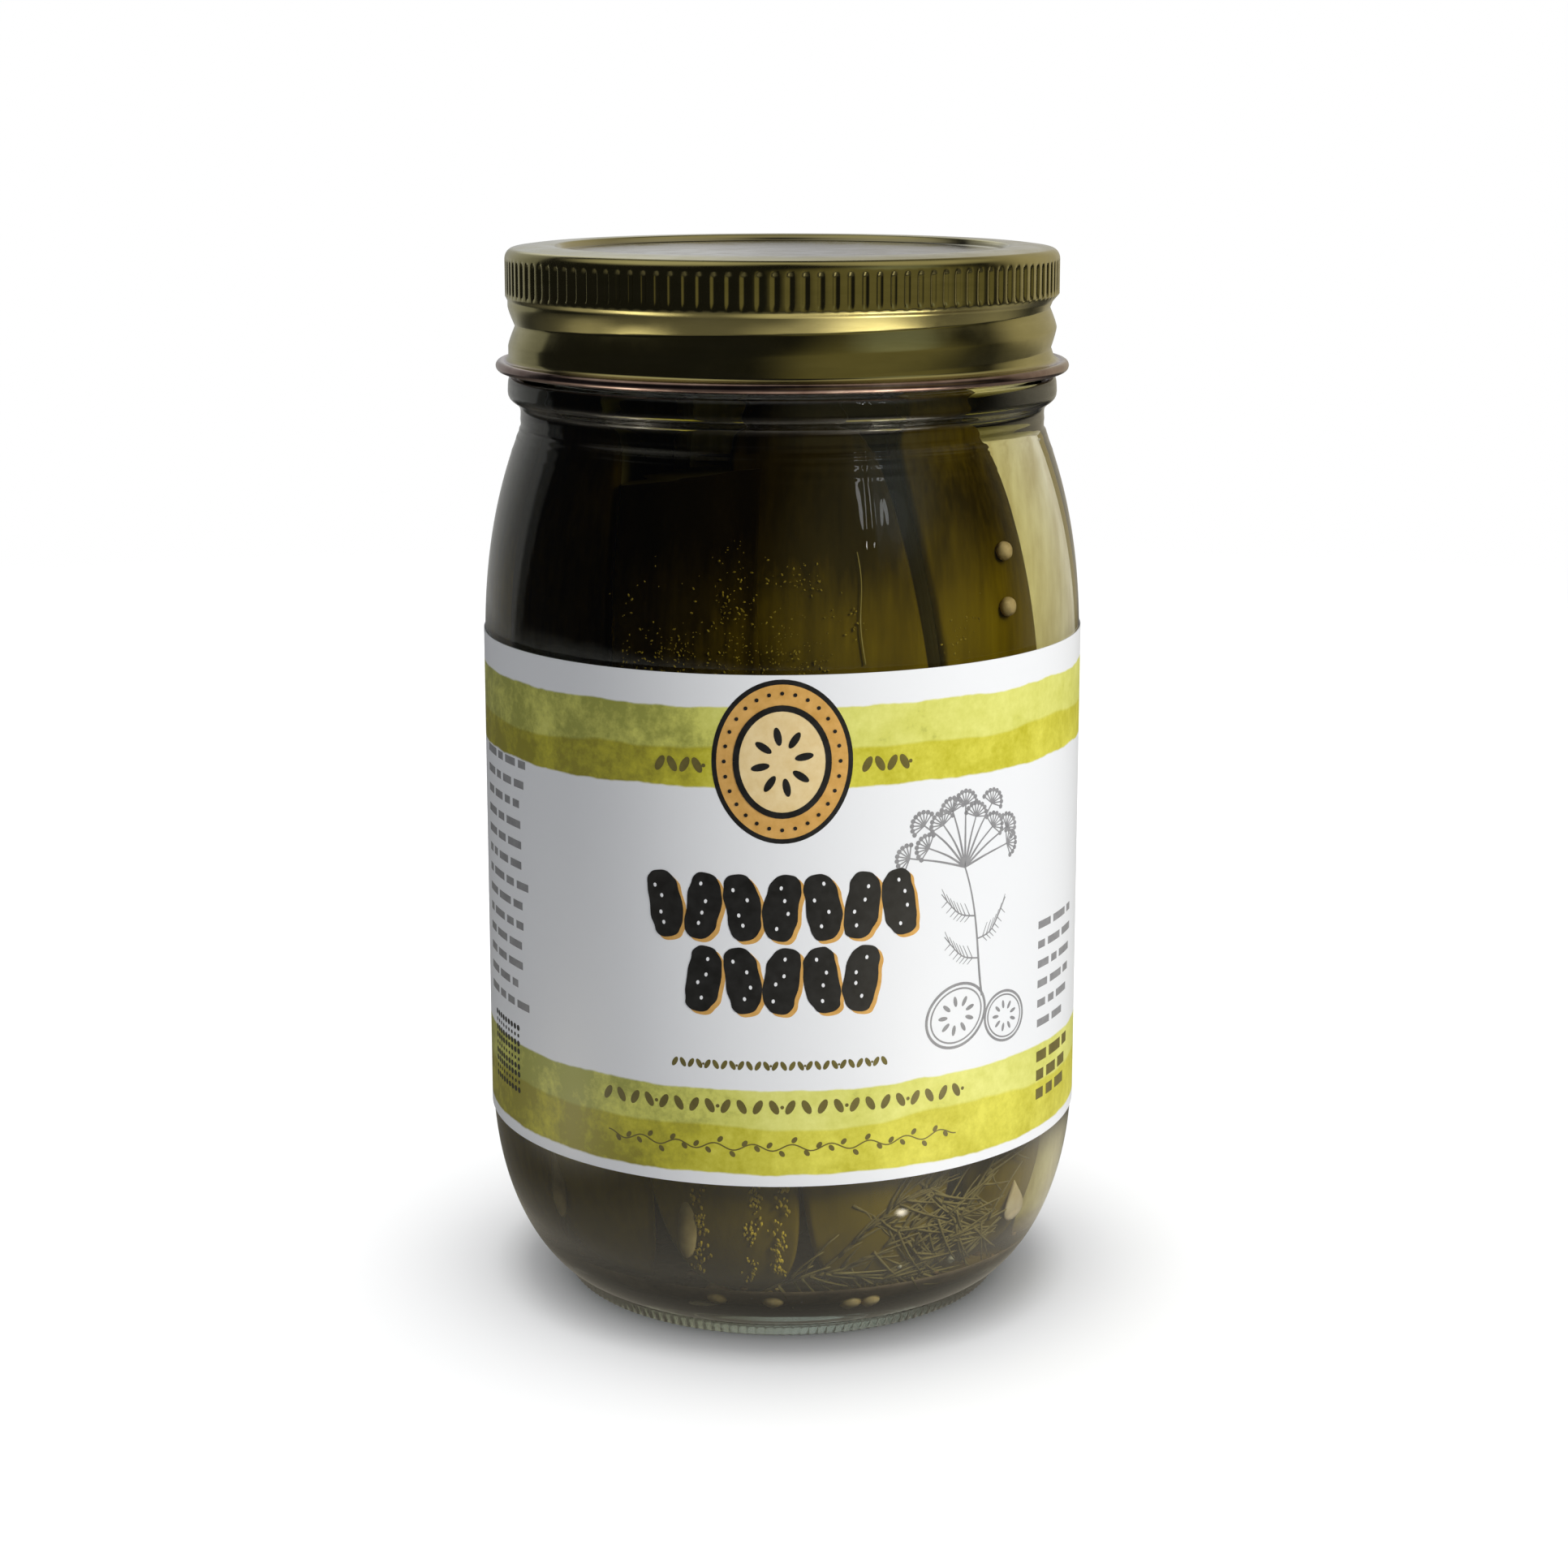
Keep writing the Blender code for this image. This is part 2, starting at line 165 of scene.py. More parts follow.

# Pickles: azimuths in degrees at SPEAR_HEIGHTS, half width, half depth, bottom and top in millimetres, turn
# about its own length in degrees, slope of its flat cut top, tone from dark to pale below and above the
# heights of the tone change, partly the piece's own colour and partly painted shade, and how far it stays
# from the glass in millimetres
SPEAR_HEIGHTS = (8.0 * MM, 90.0 * MM, 112.0 * MM)
FRONT_SPEARS = (
    ((-40.0, -52.0, -54.0), 9.8, 8.0, 7.5, 121.0, 0.0, None, 0.16, 0.2, 0.35),
    ((-9.0, -20.0, -20.5), 9.6, 7.5, 7.0, 110.3, 0.0, 0.16, 0.42, 0.06, 0.35),
    ((20.0, 11.5, 5.0), 10.2, 8.5, 7.5, 121.8, 0.0, None, 0.62, 0.2, 0.5),
    ((54.5, 48.5, 42.0), 8.1, 8.0, 7.5, 121.3, 0.0, None, 0.7, 0.42, 2.1),
    ((84.0, 75.0, 71.0), 9.0, 8.0, 8.0, 114.0, 78.0, 0.2, 0.9, 1.15, 0.4),
)
BACK_SPEAR_COUNT = 8
BACK_FIRST_AZIMUTH = 97.0
BACK_LAST_AZIMUTH = 279.0
BACK_LEAN = 13.0
BACK_SEED = 11
INNER_COUNT = 6
INNER_RADIUS = 13.5 * MM
INNER_FIRST_AZIMUTH = -30.0
INNER_SEED = 12
INNER_HALF_WIDTH = 7.0 * MM
INNER_HALF_DEPTH = 6.0 * MM
INNER_SIDES = 40
INNER_ROWS = 40
# The inner spears are dark as painted shade, and the first is paler at its top
INNER_TONE = 0.2
INNER_FIRST_TOP_TONE = 0.46
# Low down every piece is raised to at least this tone, painted light on the lower parts, over these heights
FOOT_TONE = 0.84
FOOT_TONE_CHANGE = (58 * MM, 26 * MM)
# Heights over which each piece's tone turns from its low to its high value, partly painted shade
TONE_CHANGE = (88.0 * MM, 108.0 * MM)
SPEAR_CLEARANCE = 0.35 * MM
SPEAR_SIDES = 72
SPEAR_ROWS = 96
SKIN_REACH = math.radians(115.0)
# Flecks: azimuth and height range of their clusters, and single clusters to the right of them
FLECK_AZIMUTHS = (-31.0, 8.0)
FLECK_HEIGHTS = (84.0, 103.0, 87.0)
FLECK_CLUSTERS = 64
FLECK_EXTRAS = [(12.5, 95.4), (13.5, 94.6), (36.5, 91.5), (38.0, 92.0), (34.0, 89.5)]
WART_AZIMUTHS = (-17.0, -6.0, -0.5)
WART_CLUSTERS = 46

# What floats or lies in the brine
SEED_RADIUS = 1.28 * MM
# Azimuth in degrees and height in millimetres of the seeds that lean on the glass in front
WALL_SEEDS = ((50.3, 100.3), (49.9, 93.6))
# Place across and height in millimetres of the seeds that lie low down in front, and the same with a radius
# for the pale bits
FRONT_SEEDS = ((-7.6, 7.3), (-1.1, 7.1), (7.9, 6.5), (10.2, 6.6), (-30.6, 11.4))
FRONT_SEED_RADIUS = 1.42 * MM
PALE_BITS = ((2.3, 6.9, 0.55), (20.0, 9.8, 0.6), (-3.6, 7.2, 0.3), (14.0, 10.5, 0.35))
FLOOR_SEED_COUNT = 24
SPICE_BIT_COUNT = 420
SPICE_REACH = (12.0, 30.5)
SEDIMENT_SIDES = 180
SEDIMENT_OUT = 29.6
SEDIMENT_DEPTH = 0.75
SEDIMENT_LEAST = 0.06 * MM
THREAD_LINE_AZIMUTH = 14.6
THREAD_LINE_HEIGHTS = (102.0 * MM, 88.6 * MM)
DILL_SEED = 5
# Azimuth in degrees and height in millimetres at the foot of each stem, and the same at its tip
DILL_STEMS = (
    (8.0, 9.0, 40.0, 17.0),
    (14.0, 20.0, 34.0, 8.5),
    (20.0, 6.5, 48.0, 14.0),
    (28.0, 22.0, 44.0, 9.0),
    (12.0, 13.0, 30.0, 21.0),
    (-6.0, 7.5, 18.0, 10.0),
    (150.0, 8.0, 178.0, 20.0),
    (165.0, 18.0, 196.0, 9.0),
    (-110.0, 8.0, -88.0, 19.0),
    (34.0, 9.0, 50.0, 25.0),
    (18.0, 8.0, 36.0, 7.0),
)
DILL_STEM_PARTS = 14
DILL_NEEDLE_PARTS = 4
DILL_STEM_WAVE = 1.6
# Azimuth, height, half width, half height and tilt of each sliver
GARLIC = (
    (57.0, 15.4, 2.7, 2.7, 0.1),
    (-20.5, 6.2, 2.6, 0.8, 0.1),
    (120.0, 14.0, 2.6, 3.6, -0.4),
    (-150.0, 95.0, 2.4, 4.4, 0.3),
)
CUT_EDGES = (
    (-19.0, 19.5, 1.6, 7.0, -0.06),
    (-51.5, 20.5, 1.9, 6.5, 0.02),
)

# Stage and light
FLOOR_DISC = 0.7
FLOOR_DROP = 0.02 * MM
# The painted glow that glossy surfaces see on the floor: the two distances from the jar and how bright it is
# at each
FLOOR_GLOSS = (0.45, 0.1, 0.01, 0.13)
# Near the foot the glow is dimmed, a painted shadow in the reflections: the two distances and the strengths
FOOT_GLOSS = (0.034, 0.042, 0.4, 1.0)
FLOOR_SHADOW = (0.045, 0.11)
FLOOR_LIGHTS = ((3.0, 1.5, 42.0), (1.2, 3.2, 41.0))
# Painted light patches that glow on the floor where glossy surfaces see it: place, reach and gain
FLOOR_PATCHES = (
    (0.12, -0.16, 0.13, 1.0),
    (0.088, -0.088, 0.08, 1.8),
    (-0.13, -0.038, 0.075, 2.2),
    (-0.22, 0.02, 0.1, 0.3),
    (0.22, 0.1, 0.16, 0.2),
    (0.0, -0.12, 0.06, 0.4),
    (0.036, -0.052, 0.003, 18.0),
    (-0.112, -0.034, 0.014, 12.0),
    (0.115, -0.062, 0.045, 3.5),
    (0.08, -0.075, 0.014, 16.0),
    (0.008, -0.035, 0.085, 0.95),
    (0.075, 0.012, 0.05, 1.0),
)
LIGHT_AIM = Vector((0.0, 0.0, 0.07))
# Key light: azimuth, elevation, distance and size
KEY_LIGHT = (52.0, 28.0, 0.8, (0.28, 0.34))
KEY_POWER = 5.25
KEY_COLOUR = (1.0, 0.985, 0.95)
FILL = (0.15, 0.155, 0.164)
# Windows that show as reflections in the glass: azimuth, elevation, distance, size, power and colour
GLASS_WINDOWS = (
    (49.0, 20.0, 1.2, (0.46, 0.5), 0.02, (0.86, 0.95, 1.0)),
    (48.0, 20.5, 1.2, (0.34, 0.36), 0.01, (0.86, 0.95, 1.0)),
    (46.5, 21.0, 1.2, (0.2, 0.24), 0.012, (0.86, 0.95, 1.0)),
    (42.5, 22.5, 1.2, (0.03, 0.12), 0.02, (0.95, 0.98, 1.0)),
    (32.0, 25.5, 1.2, (0.026, 0.24), 0.04, (1.0, 1.0, 1.0)),
    (33.0, 16.5, 1.2, (0.02, 0.035), 0.015, (1.0, 1.0, 1.0)),
    (-69.0, 72.0, 1.0, (0.22, 0.3), 2.0, (1.0, 1.0, 1.0)),
)
ROOM_DIM = (0.012, 0.012, 0.013)
# Soft patches of the room: azimuth and elevation of the middle, half angles where it is full and gone, colour
ROOM_PATCHES = (
    (-150.0, 5.0, 28.0, 31.0, (0.2, 0.2, 0.19)),
    (-168.0, 5.0, 10.0, 40.0, (0.16, 0.16, 0.155)),
    (142.0, 8.0, 12.0, 48.0, (0.42, 0.38, 0.28)),
    (42.0, 0.0, 14.0, 54.0, (0.14, 0.125, 0.06)),
    (52.0, 30.0, 6.0, 22.0, (0.09, 0.11, 0.12)),
    (-171.0, 28.0, 6.0, 17.0, (0.42, 0.43, 0.46)),
    (180.0, 7.0, 5.0, 15.0, (0.13, 0.145, 0.2)),
    (-100.0, 64.0, 6.0, 36.0, (0.5, 0.48, 0.4)),
    (95.0, 62.0, 6.0, 36.0, (0.42, 0.39, 0.3)),
)


def at_azimuth(azimuth, radius, z):
    return Vector((radius * math.sin(azimuth), -radius * math.cos(azimuth), z))


def smooth(low, high, value):
    """0 below low, 1 above high and an even rise between, for numbers and arrays."""
    share = np.clip((value - low) / (high - low), 0.0, 1.0)
    return share * share * (3 - 2 * share)


def ripple(across, along, seed, waves=10, lowest=1.0, highest=9.0):
    """A soft random height from -1 to 1 that repeats round the jar, by an angle and a length along."""
    draw = random.Random(seed)
    total = np.zeros(np.broadcast(across, along).shape)
    for _ in range(waves):
        turns = round(draw.uniform(lowest, highest))
        pace = draw.uniform(0.2, 1.0)
        phase = draw.uniform(0, 2 * math.pi)
        total = total + np.sin(turns * across + pace * along + phase)
    return total / math.sqrt(waves * 2)


def rotated(centre, x, y, turn):
    """The point (x, y) turned about the origin and then moved by centre."""
    return (
        centre[0] + x * math.cos(turn) - y * math.sin(turn),
        centre[1] + x * math.sin(turn) + y * math.cos(turn),
    )


def link(name, mesh, *materials, body="root"):
    """Links the mesh as a piece that rides on the jar."""
    mesh.shade_smooth()
    for material in materials:
        mesh.materials.append(material)
    piece = bpy.data.objects.new(name, mesh)
    bpy.context.scene.collection.objects.link(piece)
    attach(piece, body)
    return piece


def mesh_of(name, bm):
    mesh = bpy.data.meshes.new(name)
    bm.to_mesh(mesh)
    bm.free()
    return mesh


def mesh_from(name, points, faces):
    mesh = bpy.data.meshes.new(name)
    mesh.from_pydata(np.asarray(points).reshape(-1, 3).tolist(), [], faces)
    mesh.update()
    return mesh


def sheet_faces(rows, columns, round_columns, first=0):
    """Quads of a grid of points, row by row. The columns close into a ring if round_columns is true."""
    faces = []
    last = columns if round_columns else columns - 1
    for row in range(rows - 1):
        for column in range(last):
            after = (column + 1) % columns
            low = first + row * columns
            high = low + columns
            faces.append((low + column, low + after, high + after, high + column))
    return faces


def turned_mesh(name, radii, heights, sides):
    """A closed body of revolution. radii and heights are rows by sides, and both ends shrink to the axis."""
    angles = 2 * math.pi * np.arange(sides) / sides
    radii = np.broadcast_to(radii, (len(radii), sides))
    heights = np.broadcast_to(heights, radii.shape)
    ring = np.stack([radii * np.cos(angles), radii * np.sin(angles), heights], axis=-1)
    points = [(0.0, 0.0, float(heights[0].mean()))] + ring.reshape(-1, 3).tolist()
    points.append((0.0, 0.0, float(heights[-1].mean())))
    faces = sheet_faces(len(radii), sides, True, first=1)
    top = len(points) - 1
    start = 1 + (len(radii) - 1) * sides
    for side in range(sides):
        after = (side + 1) % sides
        faces.append((0, 1 + after, 1 + side))
        faces.append((top, start + side, start + after))
    return mesh_from(name, points, faces)


def ellipse_arc(centre, half_width, half_height, first, last, steps):
    """Points on an ellipse from one angle to another in degrees, where 0 is outward and 90 is up."""
    points = []
    for step in range(steps + 1):
        angle = math.radians(first + (last - first) * step / steps)
        points.append(
            (centre[0] + half_width * math.cos(angle), centre[1] + half_height * math.sin(angle))
        )
    return points


def bezier(first, pull_first, pull_last, last, steps):
    points = []
    for step in range(steps + 1):
        t = step / steps
        weights = ((1 - t) ** 3, 3 * t * (1 - t) ** 2, 3 * t * t * (1 - t), t**3)
        pairs = list(zip(weights, (first, pull_first, pull_last, last)))
        points.append((sum(w * p[0] for w, p in pairs), sum(w * p[1] for w, p in pairs)))
    return points


def between(first, last, steps):
    """Points on a straight line without its first point."""
    points = []
    for step in range(1, steps + 1):
        t = step / steps
        points.append((first[0] + (last[0] - first[0]) * t, first[1] + (last[1] - first[1]) * t))
    return points


# Materials


class Nodes:
    """A node tree, with short calls for the nodes that the finishes and the room share."""

    def __init__(self, tree):
        self.tree = tree

    def node(self, kind, inputs=(), **settings):
        made = self.tree.nodes.new(kind)
        for key, value in settings.items():
            setattr(made, key, value)
        for key, value in dict(inputs).items():
            if isinstance(value, bpy.types.NodeSocket):
                self.tree.links.new(value, made.inputs[key])
            else:
                made.inputs[key].default_value = value
        return made

    def ramp(self, fac, stops):
        made = self.node("ShaderNodeValToRGB", {"Fac": fac})
        band = made.color_ramp
        while len(band.elements) < len(stops):
            band.elements.new(0.5)
        for element, (at, colour) in zip(band.elements, stops):
            element.position = at
            element.color = (*colour, 1.0)
        return made.outputs["Color"]

    def span(self, value, low, high, out_low=0.0, out_high=1.0):
        """A soft change from out_low at low to out_high at high."""
        made = self.node(
            "ShaderNodeMapRange",
            {"Value": value, "From Min": low, "From Max": high, "To Min": out_low, "To Max": out_high},
            interpolation_type="SMOOTHSTEP",
        )
        return made.outputs["Result"]

    def mix(self, fac, one, other, blend_type="MIX"):
        made = self.node("ShaderNodeMix", data_type="RGBA", blend_type=blend_type)
        for index, value in ((0, fac), (6, one), (7, other)):
            if isinstance(value, bpy.types.NodeSocket):
                self.tree.links.new(value, made.inputs[index])
            elif index == 0:
                made.inputs[index].default_value = value
            else:
                made.inputs[index].default_value = (*value, 1.0)
        return made.outputs[2]

    def sum(self, operation, one, other=0.0, third=0.0):
        made = self.node("ShaderNodeMath", operation=operation)
        for index, value in enumerate((one, other, third)):
            if isinstance(value, bpy.types.NodeSocket):
                self.tree.links.new(value, made.inputs[index])
            else:
                made.inputs[index].default_value = value
        return made.outputs[0]


class Look(Nodes):
    """One node material."""

    def __init__(self, name):
        self.material = bpy.data.materials.new(name)
        self.material.use_nodes = True
        super().__init__(self.material.node_tree)
        self.shader = self.tree.nodes["Principled BSDF"]
        self.out = self.tree.nodes["Material Output"]
        self.place = self.node("ShaderNodeTexCoord").outputs["Object"]

    def set(self, **values):
        for key, value in values.items():
            self.shader.inputs[key.replace("_", " ")].default_value = value

    def feed(self, key, socket):
        self.tree.links.new(socket, self.shader.inputs[key])

    def stretched(self, scale):
        return self.node("ShaderNodeMapping", {"Vector": self.place, "Scale": scale}).outputs["Vector"]

    def noise(self, scale, detail=3.0, roughness=0.5, vector=None):
        made = self.node(
            "ShaderNodeTexNoise",
            {"Vector": vector or self.place, "Scale": scale, "Detail": detail, "Roughness": roughness},
        )
        return made.outputs["Fac"]

    def distance(self, point, vector=None):
        """How far the surface is from the point."""
        ends = {0: vector or self.place, 1: point}
        return self.node("ShaderNodeVectorMath", ends, operation="DISTANCE").outputs["Value"]

    def axis(self, letter):
        return self.node("ShaderNodeSeparateXYZ", {"Vector": self.place}).outputs[letter]

    def bump(self, height, strength, distance):
        made = self.node("ShaderNodeBump", {"Height": height, "Strength": strength, "Distance": distance})
        self.feed("Normal", made.outputs["Normal"])

    def pass_lamps(self, tint):
        """Lets the light of lamps through a clear surface, so that it reaches what is inside."""
        path = self.node("ShaderNodeLightPath")
        clear = self.node("ShaderNodeBsdfTransparent", {"Color": (*tint, 1.0)})
        mixed = self.node("ShaderNodeMixShader")
        self.tree.links.new(path.outputs["Is Shadow Ray"], mixed.inputs[0])
        self.tree.links.new(self.shader.outputs["BSDF"], mixed.inputs[1])
        self.tree.links.new(clear.outputs["BSDF"], mixed.inputs[2])
        self.tree.links.new(mixed.outputs["Shader"], self.out.inputs["Surface"])

    def absorb(self, colour, density):
        made = self.node("ShaderNodeVolumeAbsorption", {"Color": (*colour, 1.0), "Density": density})
        self.tree.links.new(made.outputs["Volume"], self.out.inputs["Volume"])


def glass_look():
    look = Look("clear_glass")
    look.set(Base_Color=(0.97, 0.985, 0.975, 1.0), Roughness=0.0, IOR=1.51, Transmission_Weight=1.0)
    film = look.noise(60.0, 2.0, 0.5)
    waves = look.noise(210.0, 3.0, 0.6, look.stretched((1.0, 1.0, 0.45)))
    look.bump(look.sum("MULTIPLY_ADD", waves, 0.3, film), 0.09, 0.0004)
    look.absorb((0.62, 0.68, 0.63), 50.0)
    look.pass_lamps((0.94, 0.95, 0.94))
    return look.material


def brine_look():
    look = Look("brine")
    look.set(
        Base_Color=(1.0, 1.0, 1.0, 1.0),
        Roughness=0.0,
        IOR=1.34,
        Transmission_Weight=1.0,
        Specular_Tint=(0.12, 0.12, 0.12, 1.0),
    )
    look.absorb((0.9, 0.86, 0.3), 90.0)
    look.pass_lamps((1.0, 1.0, 1.0))
    return look.material


def lacquer_look():
    """Gold lacquer over tinplate, with a bare dusky bead at the bottom edge."""
    look = Look("gold_lacquer_metal")
    height = look.axis("Z")
    grime = look.noise(260.0, 5.0, 0.6)
    streaks = look.noise(90.0, 4.0, 0.6, look.stretched((1.0, 1.0, 9.0)))
    gold = look.ramp(streaks, ((0.3, (0.52, 0.47, 0.2)), (0.7, (0.62, 0.56, 0.26))))
    bare = look.ramp(grime, ((0.35, (0.3, 0.2, 0.18)), (0.65, (0.46, 0.34, 0.31))))
    bead_top = BEAD_HEIGHT + BEAD_TUBE
    at_bead = look.span(height, bead_top + 0.35 * MM, bead_top - 0.2 * MM)
    out = look.distance((0.0, 0.0, 0.0), look.stretched((1.0, 1.0, 0.0)))
    # The panel darkens towards one point: a painted dark reflection
    dulled = look.span(look.distance(DULL_SPOT), 2 * MM, DULL_SPOT_REACH)
    panel = look.mix(dulled, (0.3, 0.28, 0.215), (0.5, 0.47, 0.36))
    gold = look.mix(look.span(out, LID_LIP_RADIUS, LID_PANEL_RADIUS), gold, panel)
    look.feed("Base Color", look.mix(at_bead, gold, bare))
    look.set(Metallic=1.0)
    look.feed("Roughness", look.span(grime, 0.3, 0.75, 0.13, 0.23))
    look.bump(look.noise(1500.0, 2.0, 0.5), 0.03, 0.00005)
    return look.material


def label_look():
    """White coated paper with two washes of yellow-green, each a pale layer over a fuller one."""
    look = Look("printed_label_paper")
    x = look.axis("X")
    z = look.sum("MULTIPLY_ADD", x, -LABEL_TILT, look.axis("Z"))
    edge_wave = look.sum("MULTIPLY_ADD", look.noise(95.0, 4.0, 0.6), 1.4 * MM, -0.7 * MM)
    layer_wave = look.sum("MULTIPLY_ADD", look.noise(48.0, 3.0, 0.5), 3.4 * MM, -1.7 * MM)
    edge = look.sum("ADD", z, edge_wave)
    layer = look.sum("ADD", z, layer_wave)
    pool = look.noise(130.0, 5.0, 0.65)
    grain = look.noise(900.0, 3.0, 0.7)
    mottle = look.sum("MULTIPLY_ADD", grain, 0.3, look.sum("MULTIPLY", pool, 0.7))
    # The washes grow darker towards the left side, partly a darker pool of the wash and partly painted shade
    mottle = look.sum("ADD", mottle, look.span(x, -2 * MM, -20 * MM, 0.03, -0.2))
    pale = look.ramp(mottle, PALE_WASH)
    full = look.ramp(mottle, FULL_WASH)
    colour = (0.86, 0.875, 0.9)
    for (low, high), split in ((UPPER_BAND, UPPER_BAND_SPLIT), (LOWER_BAND, LOWER_BAND_SPLIT)):
        soft = 0.16 * MM
        inside = look.sum(
            "MULTIPLY",
            look.span(edge, low - soft, low + soft),
            look.span(edge, high + soft, high - soft),
        )
        deep = look.span(layer, split + 0.25 * MM, split - 0.25 * MM)
        colour = look.mix(inside, colour, look.mix(deep, pale, full))
    look.feed("Base Color", colour)
    look.set(Roughness=0.42, Coat_Weight=0.12, Coat_Roughness=0.3)
    look.bump(grain, 0.06, 0.00005)
    return look.material


def ink_look(name, dark, light):
    look = Look(name)
    look.feed("Base Color", look.ramp(look.noise(700.0, 3.0, 0.6), ((0.3, dark), (0.7, light))))
    look.set(Roughness=0.4)
    return look.material


def skin_look():
    """Wet gherkin skin: olive with fine lengthwise streaks, darker on the pieces of a dark tone, which is
    partly their own colour and partly painted shade.
    """
    look = Look("gherkin_skin")
    along = look.stretched((1.0, 1.0, 0.1))
    streaks = look.noise(420.0, 4.0, 0.6, along)
    fine = look.noise(1100.0, 3.0, 0.6, look.stretched((1.0, 1.0, 0.05)))
    patches = look.noise(45.0, 3.0, 0.5)
    tone = look.node("ShaderNodeAttribute", attribute_name="tone").outputs["Fac"]
    mixed = look.sum("MULTIPLY_ADD", streaks, 0.3, look.sum("MULTIPLY", patches, 0.5))
    mixed = look.sum("MULTIPLY_ADD", fine, 0.2, mixed)
    depth = look.sum("ADD", look.sum("MULTIPLY_ADD", tone, 1.0, -0.5), mixed)
    # The near-black stops of the ramp stand in for shade on the dark-toned pieces: painted shade
    skin = look.ramp(
        depth,
        (
            (0.1, (0.005, 0.0028, 0.0001)),
            (0.35, (0.024, 0.0145, 0.0003)),
            (0.6, (0.11, 0.071, 0.001)),
            (0.9, (0.24, 0.165, 0.004)),
        ),
    )
    look.feed("Base Color", skin)
    look.set(Roughness=0.35, Specular_IOR_Level=0.04)
    look.bump(look.sum("ADD", streaks, patches), 0.25, 0.0003)
    return look.material


def flesh_look():
    """Cut gherkin flesh: pale khaki with lengthwise fibres, and a near-black copy of it as painted shade on
    the pieces of a dark tone.
    """
    look = Look("gherkin_flesh")
    fibres = look.noise(500.0, 4.0, 0.6, look.stretched((1.0, 1.0, 0.2)))
    tone = look.node("ShaderNodeAttribute", attribute_name="tone").outputs["Fac"]
    pale = look.ramp(fibres, ((0.3, (0.68, 0.575, 0.4)), (0.7, (0.98, 0.9, 0.76))))
    # The near-black flesh is painted shade
    dull = look.ramp(fibres, ((0.3, (0.022, 0.016, 0.004)), (0.7, (0.045, 0.034, 0.012))))
    look.feed("Base Color", look.mix(look.span(tone, 0.1, 1.0), dull, pale))
    look.set(Roughness=0.35, Specular_IOR_Level=0.05)
    look.bump(fibres, 0.2, 0.0003)
    return look.material


def mottled_look(name, dark, light, scale, roughness):
    look = Look(name)
    blotch = look.noise(scale, 4.0, 0.6)
    look.feed("Base Color", look.ramp(blotch, ((0.3, dark), (0.7, light))))
    look.set(Roughness=roughness, Specular_IOR_Level=0.08)
    look.bump(blotch, 0.25, 0.0002)
    return look.material


# Glass and brine


def shoulder(inset, steps):
    """The shoulder curve from the body up to the neck, moved inward by inset."""
    body = BODY_RADIUS - inset
    neck = NECK_RADIUS - inset
    return bezier(
        (body, SHOULDER_BOTTOM),
        (body, SHOULDER_BOTTOM + SHOULDER_PULL_LOW),
        (neck + SHOULDER_PULL_OUT, SHOULDER_TOP - SHOULDER_PULL_HIGH),
        (neck, SHOULDER_TOP),
        steps,
    )


def glass_outside():
    """From the underside out over the foot and up to the rim."""
    heel_start = -math.degrees(
        math.acos((FOOT_EDGE_RADIUS - HEEL_CENTRE_RADIUS) / (BODY_RADIUS - HEEL_CENTRE_RADIUS))
    )
    shares = np.linspace(0.1, 0.96, 12)
    points = [(FOOT_INNER_RADIUS * share, PUSH_UP * (1 - share**4)) for share in shares]
    points += [(FOOT_INNER_RADIUS, 0.0), (FOOT_RADIUS - 0.4 * MM, 0.0), (FOOT_RADIUS, 0.02 * MM)]
    points += ellipse_arc(
        (HEEL_CENTRE_RADIUS, HEEL_TOP), BODY_RADIUS - HEEL_CENTRE_RADIUS, HEEL_TOP, heel_start, 0.0, 40
    )
    points += between(points[-1], (BODY_RADIUS, SHOULDER_BOTTOM), 12)
    curve = shoulder(0.0, 240)
    points += [p for index, p in enumerate(curve[1:]) if p[1] > 109.5 * MM or index % 8 == 7]
    points += between(points[-1], (NECK_RADIUS, NECK_RING_BOTTOM - 0.9 * MM), 6)
    points += bezier(
        (NECK_RADIUS, NECK_RING_BOTTOM - 0.4 * MM),
        (NECK_RADIUS, NECK_RING_BOTTOM + 0.9 * MM),
        (NECK_RING_RADIUS, NECK_RING_WIDEST - 1.4 * MM),
        (NECK_RING_RADIUS, NECK_RING_WIDEST),
        9,
    )
    points += bezier(
        (NECK_RING_RADIUS, NECK_RING_WIDEST + 0.3 * MM),
        (NECK_RING_RADIUS - 0.05 * MM, NECK_RING_TOP - 0.4 * MM),
        (NECK_RING_RADIUS - 0.1 * MM, NECK_RING_TOP),
        (NECK_RING_RADIUS - 0.8 * MM, NECK_RING_TOP),
        7,
    )
    points += [(FINISH_RADIUS, NECK_RING_TOP + 0.3 * MM)]
    points += between(points[-1], (FINISH_RADIUS, RIM_HEIGHT - RIM_ROUND), 5)
    points += ellipse_arc(
        (FINISH_RADIUS - RIM_ROUND, RIM_HEIGHT - RIM_ROUND), RIM_ROUND, RIM_ROUND, 22.0, 90.0, 4
    )
    return points


